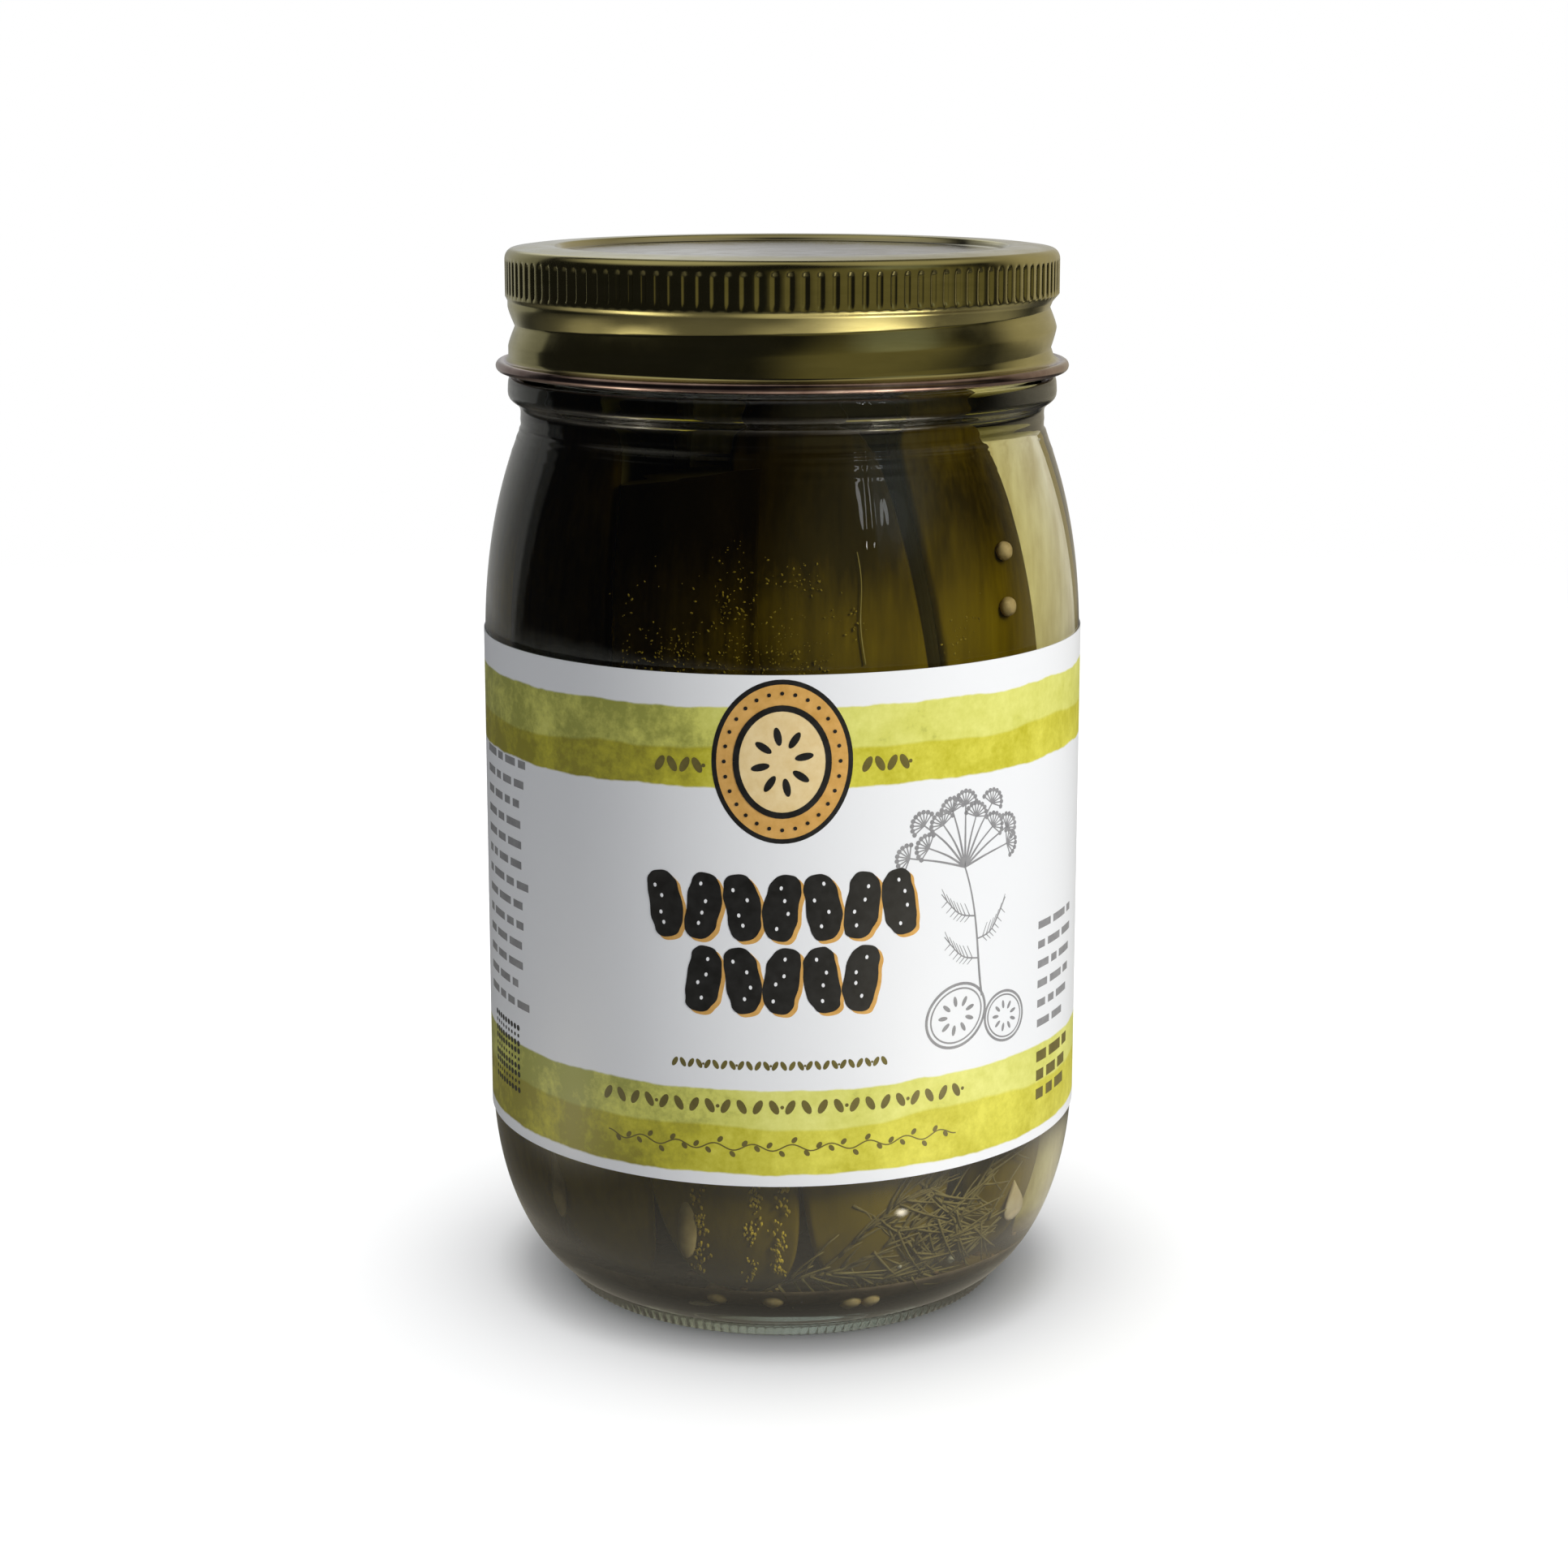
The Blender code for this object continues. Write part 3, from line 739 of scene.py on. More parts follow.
def glass_inside():
    """From the rim down the bore and the wall to the floor."""
    body = BODY_RADIUS - WALL
    points = ellipse_arc(
        (BORE_RADIUS + RIM_ROUND, RIM_HEIGHT - RIM_ROUND), RIM_ROUND, RIM_ROUND, 90.0, 180.0, 5
    )
    points += between(points[-1], (BORE_RADIUS, SHOULDER_TOP + 3.0 * MM), 6)
    points += shoulder(WALL, 30)[::-1]
    points += between(points[-1], (body, HEEL_TOP), 12)
    points += ellipse_arc(
        (FLOOR_RADIUS, HEEL_TOP), body - FLOOR_RADIUS, HEEL_TOP - FLOOR_HEIGHT, 0.0, -90.0, 30
    )[1:]
    for share in (0.8, 0.6, 0.4, 0.2, 0.1):
        points.append((FLOOR_RADIUS * share, floor_height(FLOOR_RADIUS * share)))
    return points


def floor_height(radius):
    return FLOOR_HEIGHT + FLOOR_CROWN * (1 - min(radius / FLOOR_RADIUS, 1.0) ** 2)


INSIDE_LINE = [p for p in glass_inside() if p[1] <= RIM_HEIGHT - RIM_ROUND][::-1]
INSIDE_HEIGHTS = np.array([p[1] for p in INSIDE_LINE if p[0] >= FLOOR_RADIUS])
INSIDE_RADII = np.array([p[0] for p in INSIDE_LINE if p[0] >= FLOOR_RADIUS])


def inner_radius(z):
    """How far the inside of the glass is from the axis at a height, for numbers and arrays."""
    return np.interp(z, INSIDE_HEIGHTS, INSIDE_RADII)


def build_glass():
    outside = glass_outside()
    inside = glass_inside()
    line = np.array(outside + inside)
    angles = 2 * math.pi * np.arange(GLASS_SIDES) / GLASS_SIDES
    radii = np.repeat(line[:, :1], GLASS_SIDES, axis=1)
    heights = np.repeat(line[:, 1:], GLASS_SIDES, axis=1)
    is_outside = (np.arange(len(line)) < len(outside))[:, None]
    plain = smooth(*RIPPLE_BOTTOM, heights) * smooth(*RIPPLE_TOP, heights)
    wave = ripple(angles[None, :], heights / (6 * MM), 3)
    inner_wave = ripple(angles[None, :], heights / (9 * MM), 8, highest=6.0)
    radii = radii + np.where(is_outside, OUTSIDE_RIPPLE * wave, INSIDE_RIPPLE * inner_wave) * plain
    teeth = 0.5 - 0.5 * np.cos(FOOT_TEETH * angles)[None, :]
    low = smooth(FOOT_TOOTH_TOP, 0.6 * FOOT_TOOTH_TOP, heights) * (radii > FOOT_RADIUS - 0.1 * MM)
    radii = radii - np.where(is_outside, FOOT_TOOTH_DEPTH * teeth * low, 0.0)
    for height, wander, stand in MOULD_RINGS:
        middle = height * MM + wander * MM * ripple(angles, 0.0, round(height * 10), 6, 1.0, 5.0)[None, :]
        ring = np.exp(-(((heights - middle) / MOULD_RING_WIDTH) ** 2))
        radii = radii + np.where(is_outside, stand * MM * ring, 0.0)
    for seam in (SEAM_AZIMUTH, SEAM_AZIMUTH + 180.0):
        away = np.angle(np.exp(1j * (angles - math.radians(seam - 90.0))))[None, :] * BODY_RADIUS
        ridge = np.exp(-((away / SEAM_WIDTH) ** 2)) * smooth(*SEAM_BOTTOM, heights)
        radii = radii + np.where(is_outside & (heights < NECK_RING_TOP), SEAM_HEIGHT * ridge, 0.0)
    mesh = turned_mesh("glass", radii, heights, GLASS_SIDES)
    piece = link("glass_body", mesh, glass_look())
    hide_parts("glass_jar")
    return piece


def build_brine():
    """The liquid, from just inside the wall, with its surface drawn up a little where it meets the glass."""
    line = []
    for radius, z in INSIDE_LINE:
        if z >= BRINE_TOP:
            continue
        line.append((radius + BRINE_REACH, z - (BRINE_REACH if radius < FLOOR_RADIUS * 1.05 else 0.0)))
    wall = float(inner_radius(BRINE_TOP)) + BRINE_REACH
    line.append((wall, BRINE_TOP + MENISCUS))
    for inset in BRINE_INSETS:
        line.append((wall - inset * MM, BRINE_TOP + MENISCUS * math.exp(-(inset + 0.1) / 0.8)))
    line = np.array(line)
    mesh = turned_mesh("brine", line[:, :1], line[:, 1:], BRINE_SIDES)
    link("brine", mesh, brine_look())


# Lid


def groove_depth(angles, heights):
    """How deep the rolled thread is there. It winds down from a fade-in behind the right side."""
    deepest = np.zeros(np.broadcast(angles, heights).shape)
    for turns_down in range(3):
        along = np.where(angles <= THREAD_FADE_FROM, angles, angles - 2 * math.pi)
        along = along - 2 * math.pi * turns_down
        fade = smooth(THREAD_FADE_FROM, THREAD_FADE_TO, along)
        middle = THREAD_START_HEIGHT + THREAD_PITCH * along / (2 * math.pi)
        fade = fade * smooth(THREAD_END_HEIGHTS[0], THREAD_END_HEIGHTS[1], middle)
        away = np.clip(np.abs(heights - middle) / (THREAD_PITCH / 2), 0.0, 1.0)
        deepest = np.maximum(deepest, fade * THREAD_DEPTH * (1.0 - away) ** THREAD_FLANK)
    return deepest


def lid_outline():
    """The lid's section without its knurl and thread, from the middle of the top to that of the ceiling."""
    points = []
    for share in (0.1, 0.4, 0.7, 0.9):
        points.append((LID_PANEL_RADIUS * share, LID_PANEL_HEIGHT + LID_PANEL_CROWN * (1 - share**2)))
    points += bezier(
        (LID_PANEL_RADIUS, LID_PANEL_HEIGHT),
        (LID_PANEL_RADIUS + 0.5 * MM, LID_PANEL_HEIGHT),
        (LID_PANEL_RADIUS + 0.45 * MM, LID_PANEL_HEIGHT + 0.3 * MM),
        (LID_PANEL_RADIUS + 0.7 * MM, LID_PANEL_HEIGHT + 0.5 * MM),
        8,
    )
    points += bezier(
        (LID_PANEL_RADIUS + 0.85 * MM, LID_HEIGHT - 0.25 * MM),
        (LID_PANEL_RADIUS + 1.0 * MM, LID_HEIGHT - 0.02 * MM),
        (LID_LIP_RADIUS + 0.1 * MM, LID_HEIGHT),
        (LID_LIP_RADIUS + 0.7 * MM, LID_HEIGHT),
        6,
    )
    points += bezier(
        (LID_LIP_RADIUS + 1.2 * MM, LID_HEIGHT),
        (LID_LIP_RADIUS + 3.0 * MM, LID_HEIGHT),
        (LID_CROWN_RADIUS - 0.9 * MM, LID_CROWN_HEIGHT + 0.12 * MM),
        (LID_CROWN_RADIUS, LID_CROWN_HEIGHT),
        6,
    )
    points += ellipse_arc(
        (LID_CROWN_RADIUS, KNURL_TOP + 0.3 * MM),
        KNURL_RADIUS - LID_CROWN_RADIUS,
        LID_CROWN_HEIGHT - KNURL_TOP - 0.3 * MM,
        78.0,
        0.0,
        7,
    )
    points += between(points[-1], (KNURL_RADIUS, KNURL_BOTTOM - 0.3 * MM), 14)
    points += between(points[-1], (SKIRT_RADIUS, KNURL_BOTTOM - 0.9 * MM), 3)
    points += between(points[-1], (SKIRT_RADIUS, SKIRT_BOTTOM), 48)
    points += ellipse_arc((BEAD_RADIUS, BEAD_HEIGHT), BEAD_TUBE, BEAD_TUBE, 125.0, -90.0, 14)
    points += [
        (LID_INNER_RADIUS + 0.9 * MM, BEAD_HEIGHT - BEAD_TUBE),
        (LID_INNER_RADIUS, BEAD_HEIGHT - 0.4 * MM),
    ]
    points += between(points[-1], (LID_INNER_RADIUS, LID_CEILING), 4)
    points += [(LID_INNER_RADIUS * 0.5, LID_CEILING), (LID_INNER_RADIUS * 0.1, LID_CEILING)]
    return points


def build_lid():
    line = np.array(lid_outline())
    angles = (2 * math.pi * np.arange(LID_SIDES) / LID_SIDES)[None, :]
    heights = np.repeat(line[:, 1:], LID_SIDES, axis=1)
    radii = np.repeat(line[:, :1], LID_SIDES, axis=1)
    rib = 0.5 + 0.5 * np.cos(LID_RIBS * angles)
    valley = smooth(0.3, 0.02, rib)
    knurled = smooth(KNURL_BOTTOM - 0.2 * MM, KNURL_BOTTOM + 0.7 * MM, heights)
    knurled = knurled * smooth(KNURL_TOP + 0.4 * MM, KNURL_TOP - 0.1 * MM, heights)
    outer = radii > LID_INNER_RADIUS + 0.5 * MM
    radii = radii - np.where(outer, KNURL_DEPTH * valley * knurled, 0.0)
    threaded = (heights < KNURL_BOTTOM) & (heights > SKIRT_BOTTOM - 0.1 * MM) & outer
    radii = radii - np.where(threaded, groove_depth(angles, heights), 0.0)
    mesh = turned_mesh("lid_shell", radii[::-1], heights[::-1], LID_SIDES)
    piece = link("lid_shell", mesh, lacquer_look())
    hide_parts("lid")


# Label


def on_label(across, up, raise_by=0.0):
    """The point of the label that is so far round from the front, as a length, and so high."""
    azimuth = across / LABEL_OUTER_RADIUS
    point = at_azimuth(azimuth, LABEL_OUTER_RADIUS + raise_by, up)
    point.z += LABEL_TILT * point.x
    return point


def build_label():
    reach = (math.pi - LABEL_BACK_GAP / 2 / LABEL_OUTER_RADIUS) * LABEL_OUTER_RADIUS
    columns = 260
    thickness = LABEL_INNER_RADIUS - LABEL_OUTER_RADIUS
    section = []
    ups = np.linspace(LABEL_BOTTOM, LABEL_TOP, 24)
    for up in ups:
        section.append((up, 0.0))
    for up in ups[::-1]:
        section.append((up, thickness))
    points = []
    for column in range(columns + 1):
        across = reach * (2 * column / columns - 1)
        for up, raise_by in section:
            points.append(on_label(across, up, raise_by))
    rows = len(section)
    faces = sheet_faces(columns + 1, rows, True)
    faces.append(tuple(range(rows)))
    faces.append(tuple(range(columns * rows, (columns + 1) * rows))[::-1])
    mesh = mesh_from("paper_label", [tuple(p) for p in points], faces)
    fix_normals(mesh)
    piece = link("paper_label", mesh, label_look())
    piece.data.set_sharp_from_angle(angle=math.radians(40))
    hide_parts("label")


def fix_normals(mesh):
    bm = bmesh.new()
    bm.from_mesh(mesh)
    bmesh.ops.recalc_face_normals(bm, faces=bm.faces)
    bm.to_mesh(mesh)
    bm.free()


def print_shapes(name, outlines, material, layer=1):
    """A thin layer of ink on the label. Each outline is a list of (across, up) points, in millimetres."""
    bm = bmesh.new()
    for outline in outlines:
        corners = [bm.verts.new((across * MM, up * MM, 0.0)) for across, up in outline]
        bm.faces.new(corners)
    bmesh.ops.triangulate(bm, faces=bm.faces)
    low = min(v.co.x for v in bm.verts)
    high = max(v.co.x for v in bm.verts)
    for cut in np.arange(math.ceil(low / INK_STEP) * INK_STEP, high, INK_STEP):
        everything = bm.verts[:] + bm.edges[:] + bm.faces[:]
        bmesh.ops.bisect_plane(bm, geom=everything, plane_co=(cut, 0, 0), plane_no=(1, 0, 0), dist=1e-7)
    bmesh.ops.recalc_face_normals(bm, faces=bm.faces)
    raised = bmesh.ops.extrude_face_region(bm, geom=bm.faces[:])
    top = [v for v in raised["geom"] if isinstance(v, bmesh.types.BMVert)]
    lift = INK_RAISE * layer
    for vert in top:
        vert.co.z = lift
    for vert in bm.verts:
        vert.co = on_label(vert.co.x, vert.co.y, vert.co.z - 0.01 * MM)
    bmesh.ops.recalc_face_normals(bm, faces=bm.faces)
    piece = link(name, mesh_of(name, bm), material)
    piece.data.set_sharp_from_angle(angle=math.radians(40))


def stroke(points, width, end_width=None):
    """The outline of a line drawn through the points, in the same units."""
    end_width = width if end_width is None else end_width
    left, right = [], []
    for index, (x, y) in enumerate(points):
        before = points[max(index - 1, 0)]
        after = points[min(index + 1, len(points) - 1)]
        dx, dy = after[0] - before[0], after[1] - before[1]
        size = math.hypot(dx, dy) or 1.0
        half = (width + (end_width - width) * index / max(len(points) - 1, 1)) / 2
        left.append((x - dy / size * half, y + dx / size * half))
        right.append((x + dy / size * half, y - dx / size * half))
    return left + right[::-1]


def oval(centre, half_width, half_height, steps=40, tilt=0.0):
    points = []
    for step in range(steps):
        angle = 2 * math.pi * step / steps
        points.append(rotated(centre, half_width * math.cos(angle), half_height * math.sin(angle), tilt))
    return points


def oval_line(centre, half_width, half_height, width, tilt=0.0, steps=48):
    """A ring, as two half-round strokes that share their ends."""
    ring = oval(centre, half_width, half_height, steps, tilt)
    half = steps // 2
    return [stroke(ring[: half + 1], width), stroke(ring[half:] + ring[:1], width)]


def gherkin_outline(centre, length, height, tilt, seed):
    """A plump gherkin, standing on its end at a tilt, with a knobbly outline."""
    draw = random.Random(seed)
    phases = [draw.uniform(0.0, 2 * math.pi) for _ in range(3)]
    bend = draw.choice((-0.35, 0.35))
    points = []
    for step in range(56):
        angle = 2 * math.pi * step / 56
        up = math.copysign(abs(math.sin(angle)) ** 0.75, math.sin(angle))
        across = math.copysign(abs(math.cos(angle)) ** 0.7, math.cos(angle))
        knob = 1 + 0.03 * math.sin(7 * angle + phases[0]) + 0.025 * math.sin(11 * angle + phases[1])
        x = across * height / 2 * knob + bend * (up**2 - 0.4)
        points.append(rotated(centre, x, up * length / 2, tilt))
    return points


def shifted(outlines, dx, dy):
    return [[(x + dx, y + dy) for x, y in outline] for outline in outlines]


def title_places():
    """Where the upright gherkins of the two bold rows stand: across, up, tilt."""
    places = []
    for count, up, tilt in TITLE_ROWS:
        for index in range(count):
            places.append((TITLE_STEP * (index - count // 2), up, tilt * (-1) ** index))
    return places


def title_shapes():
    shapes = []
    for index, (x, y, tilt) in enumerate(title_places()):
        shapes.append(gherkin_outline((x, y), *TITLE_SIZE, tilt, 30 + index))
    return shapes


def title_dots():
    """Small light dots on each gherkin of the bold rows."""
    draw = random.Random(31)
    dots = []
    for x, y, tilt in title_places():
        for row in range(4):
            across, up = draw.uniform(-0.9, 0.9), 2.6 - 1.7 * row + draw.uniform(-0.3, 0.3)
            dots.append(oval(rotated((x, y), across, up, tilt), 0.2, 0.26, 10, tilt))
    return dots


def badge_motif():
    """A cucumber slice: a dark rind and eight seeds round the middle."""
    x, y = BADGE_CENTRE
    shapes = oval_line(BADGE_CENTRE, 5.6, 6.6, 0.75)
    for seed in range(8):
        angle = 2 * math.pi * seed / 8 + 0.2
        place = (x + 2.7 * math.cos(angle), y + 3.2 * math.sin(angle))
        shapes.append(oval(place, 1.15, 0.46, 16, angle))
    for dot in range(28):
        angle = 2 * math.pi * dot / 28
        place = (x + 7.05 * math.cos(angle), y + 8.4 * math.sin(angle))
        shapes.append(oval(place, 0.24, 0.24, 10))
    return shapes


def seed_row(reach, up, height, gap):
    """A border of small leaning seeds, all along a line."""
    count = int(2 * reach / gap)
    shapes = []
    for index in range(count):
        x = -reach + gap * (index + 0.5)
        tilt = 0.5 if index % 2 else -0.5
        shapes.append(oval((x, up), height * 0.24, height / 2, 14, tilt))
        if index % 4 == 3:
            shapes.append(oval((x + gap / 2, up), height * 0.12, height * 0.12, 8))
    return shapes


def vine(reach, up, height):
    """A waving stem with small leaves on both sides."""
    line = []
    for step in range(121):
        x = -reach + 2 * reach * step / 120
        line.append((x, up + 0.22 * height * math.sin(x * 1.3)))
    shapes = [stroke(line, 0.16)]
    for step in range(3, 119, 4):
        x, y = line[step]
        side = 1 if (step // 4) % 2 else -1
        shapes.append(oval((x + 0.35, y + side * height * 0.3), 0.3, height * 0.24, 12, -side * 0.7))
    return shapes


def umbel(centre, reach, rays, width):
    """A dill flower head in thin lines: rays from one point, each with a small bunch of short strokes."""
    shapes = []
    for ray in range(rays):
        angle = math.pi * (0.08 + 0.84 * ray / (rays - 1))
        length = reach * (0.86 + 0.14 * math.sin(2.6 * ray))
        end = (centre[0] + length * math.cos(angle), centre[1] + length * math.sin(angle))
        half = 0.55 * length
        bow = (centre[0] + half * math.cos(angle) * 0.86, centre[1] + half * math.sin(angle) * 1.08)
        line = bezier(centre, bow, bow, end, 8)
        shapes.append(stroke(line, width, width * 0.6))
        for twig in range(9):
            spread = angle + (twig - 4) * 0.36
            tip = (end[0] + 1.7 * math.cos(spread), end[1] + 1.7 * math.sin(spread))
            shapes.append(stroke([end, tip], width * 0.6, width * 0.5))
            shapes.append(oval(tip, width * 1.05, width * 1.05, 8))
    return shapes


def slice_drawing(centre, radius, width, tilt=0.35):
    """A cucumber slice drawn in thin lines: rind, flesh line and a ring of seeds."""
    shapes = oval_line(centre, radius, radius * 0.86, width, tilt)
    shapes += oval_line(centre, radius * 0.86, radius * 0.73, width * 0.6, tilt)
    for seed in range(9):
        angle = 2 * math.pi * seed / 9
        where = rotated(centre, radius * 0.47 * math.cos(angle), radius * 0.4 * math.sin(angle), tilt)
        shapes.append(oval(where, radius * 0.15, radius * 0.06, 12, angle + tilt))
    return shapes


def sprig_drawing():
    """A stem with curved side twigs under the flower head."""
    shapes = [stroke(bezier((27.0, 45.5), (26.0, 50.0), (26.5, 56.0), (24.0, 62.5), 20), 0.34, 0.2)]
    twigs = (((26.2, 50.5), (21.0, 54.0)), ((26.2, 53.0), (31.0, 57.5)), ((25.7, 56.0), (20.5, 59.5)))
    for start, end in twigs:
        bow = ((start[0] + end[0]) / 2, start[1] + 0.4)
        line = bezier(start, bow, bow, end, 8)
        shapes.append(stroke(line, 0.2, 0.12))
        for step in range(1, 8):
            x, y = line[step]
            for side in (-1, 1):
                tip = (x + (end[0] - start[0]) * 0.16, y + side * 1.2 + 0.5)
                shapes.append(stroke([(x, y), tip], 0.13, 0.07))
    return shapes


def bars(left, right, rows, height, seed):
    """Short plain bars in lines, in place of small print. Each row is at a height."""
    draw = random.Random(seed)
    shapes = []
    for row in rows:
        lengths = []
        while sum(lengths) + BAR_GAP * len(lengths) < right - left:
            lengths.append(draw.uniform(1.6, 4.4))
        at = left
        for length in lengths[:-1]:
            shapes.append([(at, row), (at + length, row), (at + length, row + height), (at, row + height)])
            at += length + BAR_GAP
    return shapes


def dot_block(left, low, count, gap):
    """A square block of round dots, every third row of smaller ones."""
    shapes = []
    for row in range(count):
        radius = 0.26 if row % 3 == 1 else 0.4
        for column in range(count):
            shapes.append(oval((left + gap * column, low + gap * row), radius, radius, 10))
    return shapes


def build_print():
    black = ink_look("black_ink", (0.008, 0.008, 0.008), (0.02, 0.02, 0.02))
    ochre = ink_look("ochre_ink", (0.62, 0.33, 0.07), (0.75, 0.43, 0.12))
    grey = ink_look("grey_ink", (0.24, 0.24, 0.25), (0.32, 0.32, 0.33))
    olive = ink_look("olive_ink", (0.12, 0.1, 0.02), (0.17, 0.14, 0.03))
    white = ink_look("white_ink", (0.82, 0.83, 0.85), (0.88, 0.89, 0.91))
    pale = ink_look("pale_ochre_ink", (0.8, 0.6, 0.28), (0.88, 0.7, 0.38))
    title = title_shapes()
    print_shapes("print_title_shadow", shifted(title, 0.45, -0.4), ochre)
    print_shapes("print_title", title, black, 2)
    print_shapes("print_title_dots", title_dots(), white, 3)
    badge = (("rim", 8.6, 10.1, black), ("field", 8.0, 9.5, ochre), ("slice", 5.5, 6.5, pale))
    for layer, (part, half_width, half_height, ink) in enumerate(badge, 1):
        print_shapes(f"print_badge_{part}", [oval(BADGE_CENTRE, half_width, half_height, 72)], ink, layer)
    print_shapes("print_badge_motif", badge_motif(), black, 4)
    print_shapes("print_drawings", umbel((24.0, 62.5), 8.6, 11, 0.3) + sprig_drawing(), grey)
    slices = slice_drawing((23.0, 43.6), 4.6, 0.36) + slice_drawing((31.2, 42.0), 3.7, 0.33, -0.4)
    print_shapes("print_slices", slices, grey)
    small = seed_row(14.0, 39.3, 1.3, 1.05) + seed_row(24.0, 34.0, 2.0, 2.0) + vine(23.0, 28.8, 1.9)
    beside_badge = seed_row(3.2, 76.8, 2.1, 1.6)
    small += shifted(beside_badge, -12.8, 0) + shifted(beside_badge, 12.8, 0)
    print_shapes("print_borders", small, olive)
    sides = bars(-52.0, -36.0, np.arange(41.0, 75.0, 2.65), 1.0, 26)
    sides += bars(38.5, 52.0, np.arange(38.6, 52.0, 2.6), 1.0, 27)
    print_shapes("print_side_lines", sides, grey)
    print_shapes("print_lower_bars", bars(38.5, 50.0, np.arange(28.9, 35.0, 2.5), 1.4, 28), olive)
    print_shapes("print_dot_block", dot_block(-49.6, 29.8, 9, 1.05), black)


# Pickles


def spear_section(turned):
    """A spear's section as shares of its half width and half depth: a curved skin and two flat cut faces."""
    share = np.abs(turned) / SKIN_REACH
    across = np.sign(turned) * np.sin(np.minimum(share, 1.0) * math.pi / 2)
    outward = 1 - 0.3 * across**2 - 0.12 * smooth(0.8, 1.0, share)
    beyond = np.clip((np.abs(turned) - SKIN_REACH) / (math.pi - SKIN_REACH), 0.0, 1.0)
    is_flat = beyond > 0.0
    across = np.where(is_flat, np.sign(turned) * (1 - beyond), across)
    outward = np.where(is_flat, 0.58 - 1.68 * beyond, outward)
    return across, outward, is_flat


def spear_mesh(spec, seed):
    """Points, faces and a flesh flag for each face of one pickle that stands against the glass."""
    azimuths, half_width, half_depth, bottom, top, twist, slope, clearance = spec
    rows = np.linspace(0.0, 1.0, SPEAR_ROWS)
    share = (0.5 - 0.5 * np.cos(math.pi * rows))[:, None]
    z = bottom + (top - bottom) * share
    girth = np.clip(1 - np.abs(2 * share - 1) ** 6.5, 0.0, 1.0) ** 0.5
    if slope is not None:
        girth = np.where(share > 0.5, 1 - 0.12 * (share - 0.5), girth)
    girth = np.maximum(girth, 0.02)
    turned = np.linspace(-math.pi, math.pi, SPEAR_SIDES, endpoint=False)[None, :]
    across, outward, is_flat = spear_section(turned)
    if slope is not None:
        z = z + slope * half_width * across * smooth(0.8, 1.0, share)
    knobs = 1 + 0.022 * ripple(turned, z / (6 * MM), seed, 14, 2.0, 7.0) * np.where(is_flat, 0.5, 1.0)
    spin = math.radians(twist)
    side = half_width * girth * across * knobs
    out = half_depth * girth * outward * knobs
    side, out = side * math.cos(spin) + out * math.sin(spin), out * math.cos(spin) - side * math.sin(spin)
    azimuth = np.radians(np.polyval(np.polyfit(SPEAR_HEIGHTS, azimuths, 2), z))
    reach = np.maximum(half_depth * abs(math.cos(spin)), half_width * abs(math.sin(spin)) * 0.9)
    middle = inner_radius(z) - clearance - reach * np.maximum(girth, 0.55)
    limit = inner_radius(z) - clearance
    far = np.hypot(side, middle + out)
    pull = np.minimum(1.0, limit / np.maximum(far, 1e-6))
    side, forward = side * pull, (middle + out) * pull
    x = forward * np.sin(azimuth) + side * np.cos(azimuth)
    y = -forward * np.cos(azimuth) + side * np.sin(azimuth)
    points = np.stack([x, y, np.broadcast_to(z, x.shape)], axis=-1)
    faces = sheet_faces(SPEAR_ROWS, SPEAR_SIDES, True)
    flesh = np.broadcast_to(is_flat, x.shape)[:-1].reshape(-1).tolist()
    start = (SPEAR_ROWS - 1) * SPEAR_SIDES
    faces.append(tuple(range(start, start + SPEAR_SIDES)))
    faces.append(tuple(range(SPEAR_SIDES))[::-1])
    flesh += [slope is not None, False]
    return points.reshape(-1, 3), faces, flesh


def all_spears():
    rows = list(FRONT_SPEARS)
    draw = random.Random(BACK_SEED)
    for place in range(BACK_SPEAR_COUNT):
        share = place / (BACK_SPEAR_COUNT - 1)
        azimuth = BACK_FIRST_AZIMUTH + (BACK_LAST_AZIMUTH - BACK_FIRST_AZIMUTH) * share
        half_width = draw.uniform(9.0, 10.5)
        half_depth = draw.uniform(7.5, 8.5)
        bottom = draw.uniform(7.0, 8.5)
        top = draw.uniform(117.0, 122.0)
        slope = 0.12 if place % 3 == 1 else None
        twist = 60.0 if place % 4 == 2 else 0.0
        azimuths = (azimuth + BACK_LEAN, azimuth + 0.3 * BACK_LEAN, azimuth)
        # The back spears are dark and darker still at the top, partly their own colour and partly painted
        # shade
        tone = draw.uniform(0.3, 0.6)
        rows.append((azimuths, half_width, half_depth, bottom, top, twist, slope, tone, tone - 0.2, 0.4))
    return rows


def inner_spears():
    """A ring of spears round one in the middle, behind the others: place, bottom, top and turn of each."""
    draw = random.Random(INNER_SEED)
    rows = [(0.0, 0.0, 7.5 * MM, 121.0 * MM, 0.3)]
    for place in range(INNER_COUNT):
        azimuth = math.radians(INNER_FIRST_AZIMUTH + 360.0 * place / INNER_COUNT)
        middle = at_azimuth(azimuth, INNER_RADIUS, 0.0)
        facing = azimuth if place == 0 else azimuth + math.pi
        turn = facing + draw.uniform(-0.2, 0.2)
        rows.append((middle.x, middle.y, 7.5 * MM, draw.uniform(119.5, 122.0) * MM, turn))
    return rows


